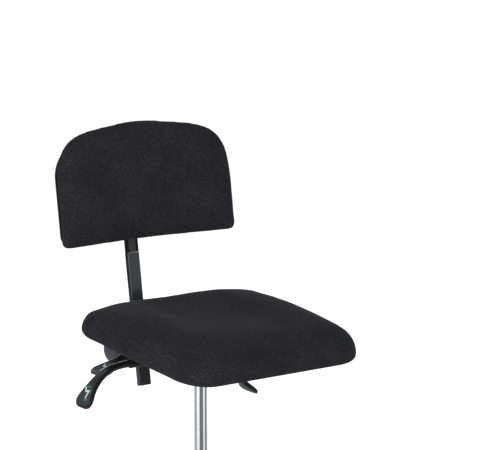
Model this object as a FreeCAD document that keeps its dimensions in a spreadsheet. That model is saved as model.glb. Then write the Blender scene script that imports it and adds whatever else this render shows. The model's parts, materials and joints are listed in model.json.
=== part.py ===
import FreeCAD, Part
import math
import os
import Sketcher
from FreeCAD import Placement, Rotation, Vector

# Musician chair, millimetres and degrees. It faces -Y, +X is the sitter's left, the origin is on the
# floor under the column.

SIZES = {
    # Five-star base on glides
    "leg_count": 5,
    "leg_reach": 291,
    "leg_root_y": 27,
    "leg_root_half": 21,
    "leg_tip_half": 14,
    "leg_root_low": 52,
    "leg_root_high": 104,
    "leg_tip_low": 30,
    "leg_tip_high": 48,
    "leg_wall": 4.5,
    "hub_radius": 31,
    "hub_low": 44,
    "hub_high": 112,
    "glide_reach": 275,
    "glide_radius": 21,
    "stem_radius": 5.5,
    # Gas spring column
    "taper_low": 32,
    "taper_high": 120,
    "taper_low_radius": 22.6,
    "outer_tube_radius": 25,
    "outer_tube_bore": 23,
    "outer_tube_high": 256,
    "tube_floor": 6,
    "cylinder_radius": 14,
    "cylinder_bore": 12.4,
    "cylinder_low": 196,
    "cylinder_high": 492,
    "cone_low": 440,
    "cone_top_radius": 13.2,
    "rod_radius": 5,
    "pin_radius": 3.9,
    "pin_high": 497,
    "running_fit": 0.08,
    "side_play": 0.3,
    # Mechanism
    "socket_low": 446,
    "socket_radius": 22,
    "sheet_steel": 3,
    "housing_half": 48,
    "housing_front": -52,
    "housing_rear": 88,
    "housing_low": 457,
    "housing_high": 496,
    "floor_rear": 46,
    "seat_pivot_y": -35,
    "seat_pivot_z": 476,
    "seat_pivot_radius": 5,
    "ear_inner": 50,
    "back_pivot_y": 128,
    "back_pivot_z": 469,
    "back_pivot_radius": 6,
    "fork_half": 30,
    "arm_inner": 31,
    "seat_draw_y": 42,
    "seat_draw_z": 486,
    "back_draw_y": 78,
    "back_draw_z": 472,
    "draw_radius": 4,
    "cam_reach": 58,
    "cam_radius": 9,
    "lever_pin_radius": 2.5,
    "slot_half": 4.6,
    "lamella_thick": 1.8,
    "spring_y": 60,
    "spring_coil": 10.5,
    "spring_wire": 3,
    "spring_turns": 5,
    # Height lever
    "height_lever_y": 8,
    "height_pin_x": -37,
    "height_arm_z": 498.6,
    # Seat, drawn level and then leant forward
    "seat_lean": 3.5,
    "seat_level": 510,
    "seat_front": -291,
    "seat_rear": 179,
    "seat_front_half": 215,
    "seat_rear_half": 213,
    "seat_top": 578,
    "seat_dish": 8,
    "board_thick": 12,
    "board_inset": 27,
    # Backrest, drawn upright about its post and then leant back
    "post_lean": 9,
    "post_y": 238,
    "post_z": 463,
    "post_half_wide": 15,
    "post_half_deep": 7.5,
    "post_wall": 2,
    "post_low": -92,
    "post_high": 197,
    "clamp_low": -48,
    "clamp_high": 20,
    "clamp_screw_y": -28,
    "clamp_screw_z": -5,
    "clamp_screw_radius": 4,
    "knob_radius": 29,
    "knob_lobes": 8,
    "back_low": 229,
    "back_high": 480,
    "back_half": 214,
    "back_bend": 1137,
    "back_corner": 16,
    "dome_drop": 46,
    "dome_corner": 70,
    "dome_radius": 800,
    "shell_rear": -42,
    "shell_thick": 4,
    "back_board_thick": 10,
    "back_foam": 34,
}

doc = FreeCAD.newDocument("MusicianChair")
sheet = doc.addObject("Spreadsheet::Sheet", "Sizes")
for row, (alias, number) in enumerate(SIZES.items(), start=1):
    sheet.set(f"A{row}", alias)
    sheet.set(f"B{row}", str(number))
    sheet.setAlias(f"B{row}", alias)
doc.recompute()


class Size:
    """A number together with the expression that binds it to the sheet."""

    def __init__(self, value, text):
        self.value = value
        self.text = text

    def __float__(self):
        return float(self.value)

    def join(self, other, sign, swap=False):
        other_value = float(other)
        other_text = other.text if isinstance(other, Size) else f"({other_value})"
        first, second = (self.value, self.text), (other_value, other_text)
        if swap:
            first, second = second, first
        results = {
            "+": first[0] + second[0],
            "-": first[0] - second[0],
            "*": first[0] * second[0],
        }
        return Size(results[sign], f"({first[1]} {sign} {second[1]})")

    def __add__(self, other):
        return self.join(other, "+")

    def __sub__(self, other):
        return self.join(other, "-")

    def __rsub__(self, other):
        return self.join(other, "-", swap=True)

    def __mul__(self, other):
        return self.join(other, "*")

    def __neg__(self):
        return self * -1


class SheetSizes:
    """Gives each cell of the sheet as a bound size."""

    def __getattr__(self, alias):
        return Size(float(sheet.get(alias)), f"Sizes.{alias}")


d = SheetSizes()

# Fits, and how far the seat and the back turn from rest about +X in degrees
CLEAR = 0.05
SEAT_TILT = (-4, 4)
BACK_TILT = (-14, 3)
SLOT_SPARE = 0.5


# Drawing helpers

def new_body(label, placement=None):
    body = doc.addObject("PartDesign::Body", label)
    body.Label = label
    if placement:
        body.Placement = placement
    return body


def bind(item, name, size):
    setattr(item, name, float(size))
    if isinstance(size, Size):
        item.setExpression(name, size.text)


def new_sketch(body, role, offset=None):
    """Sketch on one of the body's origin planes, moved along its normal."""
    sketch = body.newObject("Sketcher::SketchObject", body.Name + "Sketch")
    plane = next(item for item in body.Origin.OriginFeatures if item.Role == role)
    sketch.AttachmentSupport = [(plane, "")]
    sketch.MapMode = "FlatFace"
    if offset is not None:
        sketch.AttachmentOffset = Placement(Vector(0, 0, float(offset)), Rotation())
        if isinstance(offset, Size):
            sketch.setExpression("AttachmentOffset.Base.z", offset.text)
    return sketch


def dimension(sketch, kind, geometry, size):
    index = sketch.addConstraint(Sketcher.Constraint(kind, *geometry, float(size)))
    if isinstance(size, Size):
        sketch.setExpression(f"Constraints[{index}]", size.text)


def place_point(sketch, geometry, end, x, y):
    for kind, size, axis in (("DistanceX", x, -2), ("DistanceY", y, -1)):
        if float(size) == 0:
            sketch.addConstraint(Sketcher.Constraint("PointOnObject", geometry, end, axis))
        else:
            dimension(sketch, kind, (-1, 1, geometry, end), size)


def circle(sketch, x, y, radius):
    ring = Part.Circle(Vector(float(x), float(y), 0), Vector(0, 0, 1), float(radius))
    index = sketch.addGeometry(ring)
    dimension(sketch, "Radius", (index,), radius)
    place_point(sketch, index, 3, x, y)


def outline(sketch, corners):
    """Closed outline; a corner is (x, y), or (x, y, radius) where it is rounded."""
    points = [Vector(float(corner[0]), float(corner[1]), 0) for corner in corners]
    count = len(points)
    entries, exits = [], []
    for i, corner in enumerate(corners):
        back = (points[i - 1] - points[i]).normalize()
        ahead = (points[(i + 1) % count] - points[i]).normalize()
        trim = 0
        if len(corner) > 2:
            trim = float(corner[2]) / math.tan(back.getAngle(ahead) / 2)
        entries.append(points[i] + back * trim)
        exits.append(points[i] + ahead * trim)
    lines = []
    for i in range(count):
        lines.append(sketch.addGeometry(Part.LineSegment(exits[i], entries[(i + 1) % count])))
    for i, corner in enumerate(corners):
        if len(corner) == 2:
            sketch.addConstraint(Sketcher.Constraint("Coincident", lines[i - 1], 2, lines[i], 1))
            place_point(sketch, lines[i], 1, corner[0], corner[1])
        else:
            round_corner(sketch, lines[i - 1], lines[i], points[i], entries[i], exits[i], corner)


def round_corner(sketch, before, after, point, entry, leave, corner):
    radius = float(corner[2])
    inward = ((entry - point) + (leave - point)).normalize()
    reach = math.hypot(radius, (entry - point).Length)
    centre = point + inward * reach
    turn = (point - entry).cross(leave - point).z
    first, last = (entry, leave) if turn > 0 else (leave, entry)
    start = math.atan2(first.y - centre.y, first.x - centre.x)
    finish = math.atan2(last.y - centre.y, last.x - centre.x)
    if finish < start:
        finish += 2 * math.pi
    ring = Part.Circle(centre, Vector(0, 0, 1), radius)
    arc = sketch.addGeometry(Part.ArcOfCircle(ring, start, finish))
    entry_end, leave_end = (1, 2) if turn > 0 else (2, 1)
    sketch.addConstraint(Sketcher.Constraint("Tangent", before, 2, arc, entry_end))
    sketch.addConstraint(Sketcher.Constraint("Tangent", arc, leave_end, after, 1))
    dimension(sketch, "Radius", (arc,), corner[2])
    apex = sketch.addGeometry(Part.Point(point), True)
    sketch.addConstraint(Sketcher.Constraint("PointOnObject", apex, 1, before))
    sketch.addConstraint(Sketcher.Constraint("PointOnObject", apex, 1, after))
    place_point(sketch, apex, 1, corner[0], corner[1])


def rectangle(sketch, low_x, low_y, high_x, high_y, radius=None):
    corners = [(low_x, low_y), (high_x, low_y), (high_x, high_y), (low_x, high_y)]
    if radius is not None:
        corners = [corner + (radius,) for corner in corners]
    outline(sketch, corners)


def arc_slot(sketch, centre, radius, half, start, finish):
    """Slot that follows an arc about a pivot, from one angle to another."""
    middle = Vector(float(centre[0]), float(centre[1]), 0)
    normal = Vector(0, 0, 1)
    ends = [middle + Vector(math.cos(turn), math.sin(turn), 0) * radius for turn in (start, finish)]
    arcs = (
        Part.ArcOfCircle(Part.Circle(middle, normal, radius + half), start, finish),
        Part.ArcOfCircle(Part.Circle(ends[1], normal, half), finish, finish + math.pi),
        Part.ArcOfCircle(Part.Circle(middle, normal, radius - half), start, finish),
        Part.ArcOfCircle(Part.Circle(ends[0], normal, half), start - math.pi, start),
    )
    for arc in arcs:
        index = sketch.addGeometry(arc)
        sketch.addConstraint(Sketcher.Constraint("Block", index))


def pad(body, sketch, length, symmetric=False, flip=False):
    feature = body.newObject("PartDesign::Pad", body.Name + "Pad")
    feature.Profile = sketch
    bind(feature, "Length", length)
    if symmetric:
        feature.SideType = "Symmetric"
    feature.Reversed = flip
    return feature


def pocket(body, sketch, length=None, symmetric=False, flip=False):
    """Cut a sketch out of its body, right through where no length is given."""
    doc.recompute()
    before = body.Shape.Volume
    feature = body.newObject("PartDesign::Pocket", body.Name + "Pocket")
    feature.Profile = sketch
    if length is None:
        feature.Type = "ThroughAll"
    else:
        bind(feature, "Length", length)
    if symmetric:
        feature.SideType = "Symmetric"
    feature.Reversed = flip
    doc.recompute()
    if feature.Shape.Volume > before - 1e-3:
        raise RuntimeError(f"a pocket of {body.Label} cuts nothing")
    return feature


def revolve(body, sketch):
    feature = body.newObject("PartDesign::Revolution", body.Name + "Revolution")
    feature.Profile = sketch
    feature.ReferenceAxis = (sketch, ["V_Axis"])
    feature.Angle = 360
    return feature


def turned(label, profile, placement=None):
    """Turned piece: a profile of (radius, height) corners about its own upright axis."""
    body = new_body(label, placement)
    sketch = new_sketch(body, "XZ_Plane")
    outline(sketch, profile)
    revolve(body, sketch)
    return body


def polar_pattern(body, originals, count):
    doc.recompute()
    feature = body.newObject("PartDesign::PolarPattern", body.Name + "Pattern")
    feature.Originals = originals
    feature.Axis = (next(item for item in body.Origin.OriginFeatures if item.Role == "Z_Axis"), [""])
    feature.Angle = 360
    feature.Occurrences = int(float(count))
    feature.setExpression("Occurrences", count.text)
    body.Tip = feature
    return feature


def primitive(kind, label, placement, **lengths):
    item = doc.addObject(kind, label)
    for name, length in lengths.items():
        bind(item, name, length)
    item.Placement = placement
    return item


def combine(kind, label, first, second):
    item = doc.addObject(kind, label)
    item.Base = first
    item.Tool = second
    return item


def group(label, members):
    item = doc.addObject("Part::Compound", label)
    item.Label = label
    item.Links = members
    return item


def shaped(label, shape, placement=None):
    """Piece whose form only Part's own functions make."""
    item = doc.addObject("Part::Feature", label)
    item.Label = label
    item.Shape = shape
    item.Placement = placement or Placement()
    return item


def along_x(x, y, z, outward):
    """Turns an upright piece so that it points to +X or -X."""
    return Placement(Vector(float(x), float(y), float(z)), Rotation(Vector(0, 1, 0), 90 * outward))


# The seat leans forward about its pivot, and the backrest leans back with its post.
SEAT_PIVOT = Vector(0, float(d.seat_pivot_y), float(d.seat_pivot_z))
SEAT_FRAME = Placement(Vector(), Rotation(Vector(1, 0, 0), float(d.seat_lean)), SEAT_PIVOT)
BACK_FRAME = Placement(
    Vector(0, float(d.post_y), float(d.post_z)), Rotation(Vector(1, 0, 0), -float(d.post_lean)))


# Base

def taper_radius(height):
    """Radius of the column's fixing taper at a height."""
    share = (height - float(d.taper_low)) / float(d.taper_high - d.taper_low)
    return float(d.taper_low_radius) + share * float(d.outer_tube_radius - d.taper_low_radius)


def leg_section(body, reach, half, low, high, radius):
    sketch = new_sketch(body, "XZ_Plane", -reach)
    narrow = half * 0.68
    outline(sketch, [(-half, low), (half, low), (narrow, high, radius), (-narrow, high, radius)])
    return sketch


def make_base_star():
    body = new_body("base_star")
    hub = new_sketch(body, "XZ_Plane")
    outline(hub, [
        (taper_radius(float(d.hub_low)) + CLEAR, d.hub_low),
        (d.hub_radius - 4, d.hub_low),
        (d.hub_radius, d.hub_low + 5),
        (d.hub_radius - 1, d.hub_high - 4),
        (d.hub_radius - 3, d.hub_high),
        (taper_radius(float(d.hub_high)) + CLEAR, d.hub_high),
    ])
    revolve(body, hub)
    leg = body.newObject("PartDesign::AdditiveLoft", "leg")
    leg.Profile = leg_section(body, d.leg_root_y, d.leg_root_half, d.leg_root_low, d.leg_root_high, 9)
    leg.Sections = [leg_section(body, d.leg_reach, d.leg_tip_half, d.leg_tip_low, d.leg_tip_high, 5)]
    tip_sketch = new_sketch(body, "XY_Plane", d.leg_tip_low)
    circle(tip_sketch, 0, d.glide_reach, d.leg_tip_half + 3.5)
    tip = pad(body, tip_sketch, d.leg_tip_high - d.leg_tip_low - 5)
    doc.recompute()
    hollow = body.newObject("PartDesign::SubtractiveLoft", "hollow")
    wall = d.leg_wall
    hollow.Profile = leg_section(
        body, d.leg_root_y + 12, d.leg_root_half - wall, d.leg_root_low - 20, d.leg_root_high - wall * 3, 6)
    hollow.Sections = [leg_section(
        body, d.glide_reach - 22, d.leg_tip_half - wall + 1, d.leg_tip_low - 20, d.leg_tip_high - wall, 3)]
    doc.recompute()
    bore_sketch = new_sketch(body, "XY_Plane", d.leg_tip_low)
    circle(bore_sketch, 0, d.glide_reach, d.stem_radius)
    bore = pocket(body, bore_sketch, 14, flip=True)
    polar_pattern(body, [leg, tip, hollow, bore], d.leg_count)
    return body


def make_glide(index):
    turn = Rotation(Vector(0, 0, 1), 360 * index / float(d.leg_count))
    centre = turn.multVec(Vector(0, float(d.glide_reach), 0))
    stem_high = d.leg_tip_low + 13
    return turned(f"glide_{index + 1}", [
        (0, 0),
        (d.glide_radius - 2, 0),
        (d.glide_radius, 2),
        (d.glide_radius, 8),
        (d.glide_radius - 6, 16),
        (d.stem_radius + 6, 22),
        (d.stem_radius + 6, d.leg_tip_low),
        (d.stem_radius - CLEAR, d.leg_tip_low),
        (d.stem_radius - CLEAR, stem_high),
        (0, stem_high),
    ], Placement(centre, turn))


# Gas spring column

ROD_HOLE = 6.2
BEARING_LOW = float(d.taper_low + d.tube_floor)
RACE_OUTER, RACE_INNER, RACE_THICK = 17, 6.4, 2
BALL_RADIUS, BALL_RING, BALL_COUNT = 2, 12, 10
COLLAR_LOW = BEARING_LOW + 2 * RACE_THICK + 2 * BALL_RADIUS + 0.3
GROOVE_DEPTH = 1.6
CLIP_THICK = 1.4


def make_outer_tube():
    inner_taper = d.taper_low_radius - 2
    return turned("outer_tube", [
        (ROD_HOLE, d.taper_low),
        (d.taper_low_radius, d.taper_low),
        (d.outer_tube_radius, d.taper_high),
        (d.outer_tube_radius, d.outer_tube_high - 2),
        (d.outer_tube_radius - 1, d.outer_tube_high),
        (d.outer_tube_bore, d.outer_tube_high),
        (d.outer_tube_bore, d.taper_high),
        (inner_taper, d.taper_high - 4),
        (inner_taper, BEARING_LOW),
        (ROD_HOLE, BEARING_LOW),
    ])


def make_guide_bush():
    bore = d.cylinder_radius + d.running_fit
    return turned("guide_bush", [
        (bore, d.outer_tube_high - 64),
        (d.outer_tube_bore - CLEAR, d.outer_tube_high - 64),
        (d.outer_tube_bore - CLEAR, d.outer_tube_high),
        (d.outer_tube_radius - 0.5, d.outer_tube_high),
        (d.outer_tube_radius - 2, d.outer_tube_high + 4),
        (bore, d.outer_tube_high + 4),
    ])


def make_thrust_bearing():
    """Two race washers with a ring of balls between them."""
    members = []
    for name, low in (("lower", BEARING_LOW), ("upper", BEARING_LOW + RACE_THICK + 2 * BALL_RADIUS)):
        place = Placement(Vector(0, 0, low), Rotation())
        disc = primitive("Part::Cylinder", name + "_disc", place, Radius=RACE_OUTER, Height=RACE_THICK)
        hole = primitive("Part::Cylinder", name + "_hole", place, Radius=RACE_INNER, Height=RACE_THICK)
        members.append(combine("Part::Cut", name + "_race", disc, hole))
    for index in range(BALL_COUNT):
        turn = 2 * math.pi * index / BALL_COUNT
        height = BEARING_LOW + RACE_THICK + BALL_RADIUS
        centre = Vector(BALL_RING * math.cos(turn), BALL_RING * math.sin(turn), height)
        place = Placement(centre, Rotation())
        members.append(primitive("Part::Sphere", f"ball_{index}", place, Radius=BALL_RADIUS - CLEAR))
    return group("thrust_bearing", members)


def make_piston_rod():
    groove_low, groove_high = d.taper_low - 3.6, d.taper_low - 1.4
    return turned("piston_rod", [
        (0, d.taper_low - 8),
        (3.6, d.taper_low - 8),
        (d.rod_radius, d.taper_low - 6.5),
        (d.rod_radius, groove_low),
        (d.rod_radius - GROOVE_DEPTH, groove_low),
        (d.rod_radius - GROOVE_DEPTH, groove_high),
        (d.rod_radius, groove_high),
        (d.rod_radius, COLLAR_LOW),
        (11, COLLAR_LOW),
        (11, COLLAR_LOW + 4),
        (d.rod_radius, COLLAR_LOW + 4),
        (d.rod_radius, d.cylinder_low + 10),
        (d.rod_radius - 1.5, d.cylinder_low + 10),
        (d.rod_radius - 1.5, d.cylinder_low + 24),
        (0, d.cylinder_low + 24),
    ])


def make_piston_head():
    rim = d.cylinder_bore - d.running_fit
    low = d.cylinder_low + 10 + CLEAR
    bore = d.rod_radius - 1.5 + CLEAR
    return turned("piston_head", [
        (bore, low),
        (rim, low),
        (rim, low + 3),
        (rim - 1, low + 3.6),
        (rim - 1, low + 7.4),
        (rim, low + 8),
        (rim, low + 11),
        (bore, low + 11),
    ])


def make_rod_clip():
    """Open spring ring that snaps into the groove at the rod's end."""
    low = float(d.taper_low) - 3.2
    grip = d.rod_radius - GROOVE_DEPTH + CLEAR
    place = Placement(Vector(0, 0, low), Rotation())
    disc = primitive("Part::Cylinder", "clip_disc", place, Radius=9, Height=CLIP_THICK)
    hole = primitive("Part::Cylinder", "clip_hole", place, Radius=grip, Height=CLIP_THICK)
    ring = combine("Part::Cut", "clip_ring", disc, hole)
    mouth = primitive("Part::Box", "clip_mouth", Placement(Vector(-2.6, -10, low), Rotation()),
                      Length=5.2, Width=10, Height=CLIP_THICK)
    clip = combine("Part::Cut", "rod_clip", ring, mouth)
    clip.Label = "rod_clip"
    return clip


def make_gas_cylinder():
    pin_bore = d.pin_radius + d.running_fit
    rod_bore = d.rod_radius + d.running_fit
    return turned("gas_cylinder", [
        (rod_bore, d.cylinder_low),
        (d.cylinder_radius - 1.5, d.cylinder_low),
        (d.cylinder_radius, d.cylinder_low + 1.5),
        (d.cylinder_radius, d.cone_low),
        (d.cone_top_radius, d.cylinder_high),
        (pin_bore, d.cylinder_high),
        (pin_bore, d.cylinder_high - 22),
        (d.cylinder_bore, d.cylinder_high - 24),
        (d.cylinder_bore, d.cylinder_low + 6),
        (rod_bore, d.cylinder_low + 6),
    ])


def make_release_pin():
    return turned("release_pin", [
        (0, d.cylinder_high - 16),
        (d.pin_radius, d.cylinder_high - 16),
        (d.pin_radius, d.pin_high - 2),
        (d.pin_radius - 1.6, d.pin_high),
        (0, d.pin_high),
    ])


# Mechanism

ACROSS = 200
NUT_REACH = 8.4
DOME_NUT_RADIUS = 12


def make_column_socket():
    top = d.cylinder_high - 1

    def bore(height):
        share = (height - float(d.cone_low)) / float(d.cylinder_high - d.cone_low)
        return float(d.cylinder_radius) - share * float(d.cylinder_radius - d.cone_top_radius) + CLEAR

    return turned("column_socket", [
        (bore(float(d.socket_low)), d.socket_low),
        (d.socket_radius + 1, d.socket_low),
        (d.socket_radius + 2, d.socket_low + 1.5),
        (d.socket_radius + 2, d.housing_low),
        (d.socket_radius - CLEAR, d.housing_low),
        (d.socket_radius - CLEAR, top - 24),
        (d.socket_radius - 4, top - 20),
        (d.socket_radius - 4, top),
        (bore(float(top)), top),
    ])


def side_hole(body, y, z, radius):
    sketch = new_sketch(body, "YZ_Plane")
    circle(sketch, y, z, radius)
    pocket(body, sketch, ACROSS, symmetric=True)


def make_mechanism_housing():
    body = new_body("mechanism_housing")
    steel = d.sheet_steel
    side = new_sketch(body, "YZ_Plane")
    outline(side, [
        (d.housing_front, d.housing_low, 10),
        (d.housing_rear, d.housing_low, 5),
        (d.housing_rear, d.housing_high - 8, 8),
        (d.housing_rear - 26, d.housing_high, 14),
        (d.seat_draw_y - 18, d.housing_high),
        (d.seat_draw_y - 24, d.housing_high - 8, 4),
        (d.seat_pivot_y + 28, d.housing_high - 8, 4),
        (d.seat_pivot_y + 20, d.housing_high - 2),
        (d.housing_front, d.housing_high - 2, 14),
    ])
    pad(body, side, d.housing_half * 2, symmetric=True)
    inside = new_sketch(body, "XY_Plane", d.housing_low + steel)
    wall = d.housing_half - steel
    rectangle(inside, -wall, d.housing_front + steel, wall, d.housing_rear + 5)
    pocket(body, inside, 60, flip=True)
    flange = new_sketch(body, "XY_Plane", d.housing_low)
    rim = d.housing_half + 6
    rectangle(flange, -rim, d.housing_front + 16, rim, d.housing_rear - 12, 4)
    pad(body, flange, steel)
    below = new_sketch(body, "XY_Plane", d.housing_low)
    circle(below, 0, 0, d.socket_radius)
    for side_sign in (1, -1):
        near = (d.fork_half + 0.4) * side_sign
        far = wall * side_sign
        low_x, high_x = (near, far) if side_sign > 0 else (far, near)
        rectangle(below, low_x, d.floor_rear, high_x, d.housing_rear + 5)
    pocket(body, below, steel + 1, flip=True)
    side_hole(body, d.seat_pivot_y, d.seat_pivot_z, d.seat_pivot_radius + CLEAR)
    side_hole(body, d.seat_draw_y, d.seat_draw_z, d.draw_radius + CLEAR)
    side_hole(body, d.back_draw_y, d.back_draw_z, d.draw_radius + CLEAR)
    return body


def make_pivot_fork():
    """Inner channel that carries the back pivot behind the housing."""
    body = new_body("pivot_fork")
    low = d.housing_low + d.sheet_steel
    side = new_sketch(body, "YZ_Plane")
    outline(side, [
        (d.floor_rear, low),
        (d.back_pivot_y + 4, low - 3, 6),
        (d.back_pivot_y + 17, low, 8),
        (d.back_pivot_y + 17, d.back_pivot_z + 14, 12),
        (d.back_pivot_y - 20, d.back_pivot_z + 14, 8),
        (d.back_draw_y + 16, d.back_draw_z + 10, 8),
        (d.floor_rear, d.back_draw_z + 10, 6),
    ])
    pad(body, side, d.fork_half * 2, symmetric=True)
    inside = new_sketch(body, "XY_Plane", low + d.sheet_steel)
    wall = d.fork_half - d.sheet_steel
    rectangle(inside, -wall, d.floor_rear - 5, wall, d.back_pivot_y + 30)
    pocket(body, inside, 60, flip=True)
    step = new_sketch(body, "XY_Plane", d.housing_low - 10)
    rectangle(step, -d.fork_half - 1, d.floor_rear - 1, d.fork_half + 1, d.housing_rear + 0.4)
    pocket(body, step, d.sheet_steel + 10, flip=True)
    side_hole(body, d.back_pivot_y, d.back_pivot_z, d.back_pivot_radius + CLEAR)
    side_hole(body, d.back_draw_y, d.back_draw_z, d.draw_radius + CLEAR)
    return body


def make_front_pivot_bolt():
    end = d.ear_inner + d.sheet_steel + d.side_play
    return turned("front_pivot_bolt", [
        (0, -end - 10),
        (d.seat_pivot_radius, -end - 10),
        (d.seat_pivot_radius, end),
        (9.5, end),
        (9.5, end + 1.6),
        (8, end + 4.2),
        (5, end + 5.8),
        (0, end + 6.2),
    ], along_x(0, d.seat_pivot_y, d.seat_pivot_z, 1))


def hex_piece(label, place, radius, height, bore=None):
    """Hexagon, with a hole where it is a nut."""
    block = doc.addObject("Part::Prism", label)
    block.Polygon = 6
    bind(block, "Circumradius", radius)
    bind(block, "Height", height)
    block.Placement = place
    if bore is None:
        return block
    hole = primitive("Part::Cylinder", label + "_bore", place, Radius=bore, Height=height)
    return combine("Part::Cut", label + "_cut", block, hole)


def make_front_pivot_nut():
    end = d.ear_inner + d.sheet_steel + d.side_play
    nut = hex_piece("pivot_nut", along_x(-end, d.seat_pivot_y, d.seat_pivot_z, -1), NUT_REACH, 7,
                    d.seat_pivot_radius + CLEAR)
    nut.Label = "front_pivot_nut"
    return nut


def make_back_pivot_pin():
    end = d.arm_inner + d.sheet_steel + 3
    return turned("back_pivot_pin", [
        (0, -end),
        (d.back_pivot_radius, -end),
        (d.back_pivot_radius, end),
        (0, end),
    ], along_x(0, d.back_pivot_y, d.back_pivot_z, 1))


def make_dome_nut(name, side):
    """Domed push cap on one end of the back pivot pin."""
    start = (d.arm_inner + d.sheet_steel + d.side_play) * side
    bore = d.back_pivot_radius + CLEAR
    return turned(f"dome_nut_{name}", [
        (bore, 0),
        (DOME_NUT_RADIUS, 0),
        (DOME_NUT_RADIUS, 2.5),
        (9.5, 6.5),
        (5, 8.6),
        (0, 9.2),
        (0, 3.2),
        (bore, 3.2),
    ], along_x(start, d.back_pivot_y, d.back_pivot_z, side))


def make_draw_bolt(label, y, z, lever_side):
    """Bolt across the housing: hexagon head on one side, an eye for the cam lever on the other."""
    wall = d.housing_half
    body = new_body(label, along_x(0, y, z, lever_side))
    shank = new_sketch(body, "XZ_Plane")
    outline(shank, [
        (0, -wall - 6),
        (d.draw_radius, -wall - 6),
        (d.draw_radius, d.cam_reach - 6),
        (5.6, d.cam_reach - 3),
        (5.6, d.cam_reach + 3),
        (3.4, d.cam_reach + 5.6),
        (0, d.cam_reach + 5.6),
    ])
    revolve(body, shank)
    head = new_sketch(body, "XY_Plane", -wall)
    reach = 7.5
    half = reach * math.cos(math.pi / 6)
    outline(head, [(reach, 0), (reach / 2, half), (-reach / 2, half),
                   (-reach, 0), (-reach / 2, -half), (reach / 2, -half)])
    pad(body, head, 5.5, flip=True)
    eye = new_sketch(body, "XZ_Plane")
    circle(eye, 0, d.cam_reach, d.lever_pin_radius + CLEAR)
    pocket(body, eye, 30, symmetric=True)
    return body


def make_lever_pin(label, y, z, lever_side):
    place = Placement(
        Vector(float(d.cam_reach) * lever_side, float(y) - 10, float(z)), Rotation(Vector(1, 0, 0), -90))
    return turned(label, [
        (0, -0.8),
        (3.6, -0.8),
        (3.6, -0.1),
        (d.lever_pin_radius, -0.1),
        (d.lever_pin_radius, 20.8),
        (0, 20.8),
    ], place)


def helix_wire(coil, pitch, turns, quarters=4):
    """Rising turns as quarter arcs, with sixteen points a turn for the gap between turns."""
    edges = []
    steps = int(turns * quarters)

    def point(share):
        turn = 2 * math.pi * share / quarters
        return Vector(coil * math.cos(turn), coil * math.sin(turn), pitch * share / quarters)

    for step in range(steps):
        edges.append(Part.Arc(point(step), point(step + 0.5), point(step + 1)).toShape())
    return Part.Wire(edges), [point(share / 4) for share in range(steps * 4 + 1)]


def make_seat_spring():
    """Compression spring between the fork's floor and the seat carrier."""
    wire = float(d.spring_wire) / 2
    floor = float(d.housing_low + d.sheet_steel * 2)
    lean = math.radians(float(d.seat_lean))
    ahead = float(d.spring_y - d.seat_pivot_y)
    rise = float(d.seat_level - d.sheet_steel - d.seat_pivot_z)
    ceiling = float(d.seat_pivot_z) + (rise + ahead * math.sin(lean)) / math.cos(lean)
    length = ceiling - floor - 2 * wire - 3
    turns = float(d.spring_turns)
    pitch = length / turns
    path, points = helix_wire(float(d.spring_coil), pitch, turns)
    first = path.Edges[0]
    ring = Part.Circle(points[0], first.tangentAt(first.FirstParameter), wire)
    coil = path.makePipeShell([Part.Wire([ring.toShape()])], True, False)
    three_quarters = 12
    gap = min(
        (points[i] - points[j]).Length
        for i in range(len(points))
        for j in range(i + three_quarters, len(points))
    ) - 2 * wire
    print(f"seat spring: least gap between turns {gap:.2f} mm")
    if gap < 0.4:
        raise RuntimeError("the seat spring touches itself")
    return shaped("seat_spring", coil, Placement(Vector(0, float(d.spring_y), floor + wire + 1), Rotation()))


# Seat

SEAT_BOLT_RADIUS, SEAT_BOLT_HEAD = 4, 5.4
SEAT_BOLT_PLACES = [(x, y) for x in (-80, 80) for y in (-70, 85)]
TEE_RADIUS, TEE_FLANGE, TEE_THICK = 5, 9, 1.5


def make_seat_carrier():
    """Pressed plate under the seat with two pivot ears outside the housing."""
    body = new_body("seat_carrier", SEAT_FRAME)
    steel = d.sheet_steel
    under = d.seat_level - steel
    ears = new_sketch(body, "YZ_Plane")
    outline(ears, [
        (d.seat_pivot_y - 78, under + 1),
        (d.seat_pivot_y - 78, under - 7, 5),
        (d.seat_pivot_y - 12, d.seat_pivot_z - 11, 10),
        (d.seat_pivot_y + 12, d.seat_pivot_z - 11, 9),
        (d.seat_pivot_y + 15, under - 6, 8),
        (d.seat_pivot_y + 32, under - 6, 5),
        (d.seat_pivot_y + 32, under + 1),
    ])
    pad(body, ears, (d.ear_inner + steel) * 2, symmetric=True)
    between = new_sketch(body, "XY_Plane", d.seat_pivot_z - 30)
    rectangle(between, -d.ear_inner, d.seat_pivot_y - 90, d.ear_inner, d.seat_pivot_y + 80)
    pocket(body, between, 80, flip=True)
    plate = new_sketch(body, "XY_Plane", under)
    outline(plate, [
        (-72, d.seat_pivot_y - 84, 10),
        (72, d.seat_pivot_y - 84, 10),
        (96, d.seat_pivot_y - 60, 12),
        (96, d.seat_pivot_y + 150, 16),
        (-96, d.seat_pivot_y + 150, 16),
        (-96, d.seat_pivot_y - 60, 12),
    ])
    pad(body, plate, steel)
    side_hole(body, d.seat_pivot_y, d.seat_pivot_z, d.seat_pivot_radius + d.running_fit)
    window = new_sketch(body, "YZ_Plane")
    rectangle(window, d.seat_pivot_y - 52, under - 15, d.seat_pivot_y - 30, under - 8, 3.4)
    pocket(body, window, ACROSS, symmetric=True)
    for_seat_bolts(body, under, SEAT_BOLT_RADIUS + 0.3, steel)
    return body


def for_seat_bolts(body, low, radius, depth):
    """Four holes for the seat bolts, upward from a level."""
    holes = new_sketch(body, "XY_Plane", low)
    for x, y in SEAT_BOLT_PLACES:
        circle(holes, x, y, radius)
    pocket(body, holes, depth, flip=True)


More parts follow.
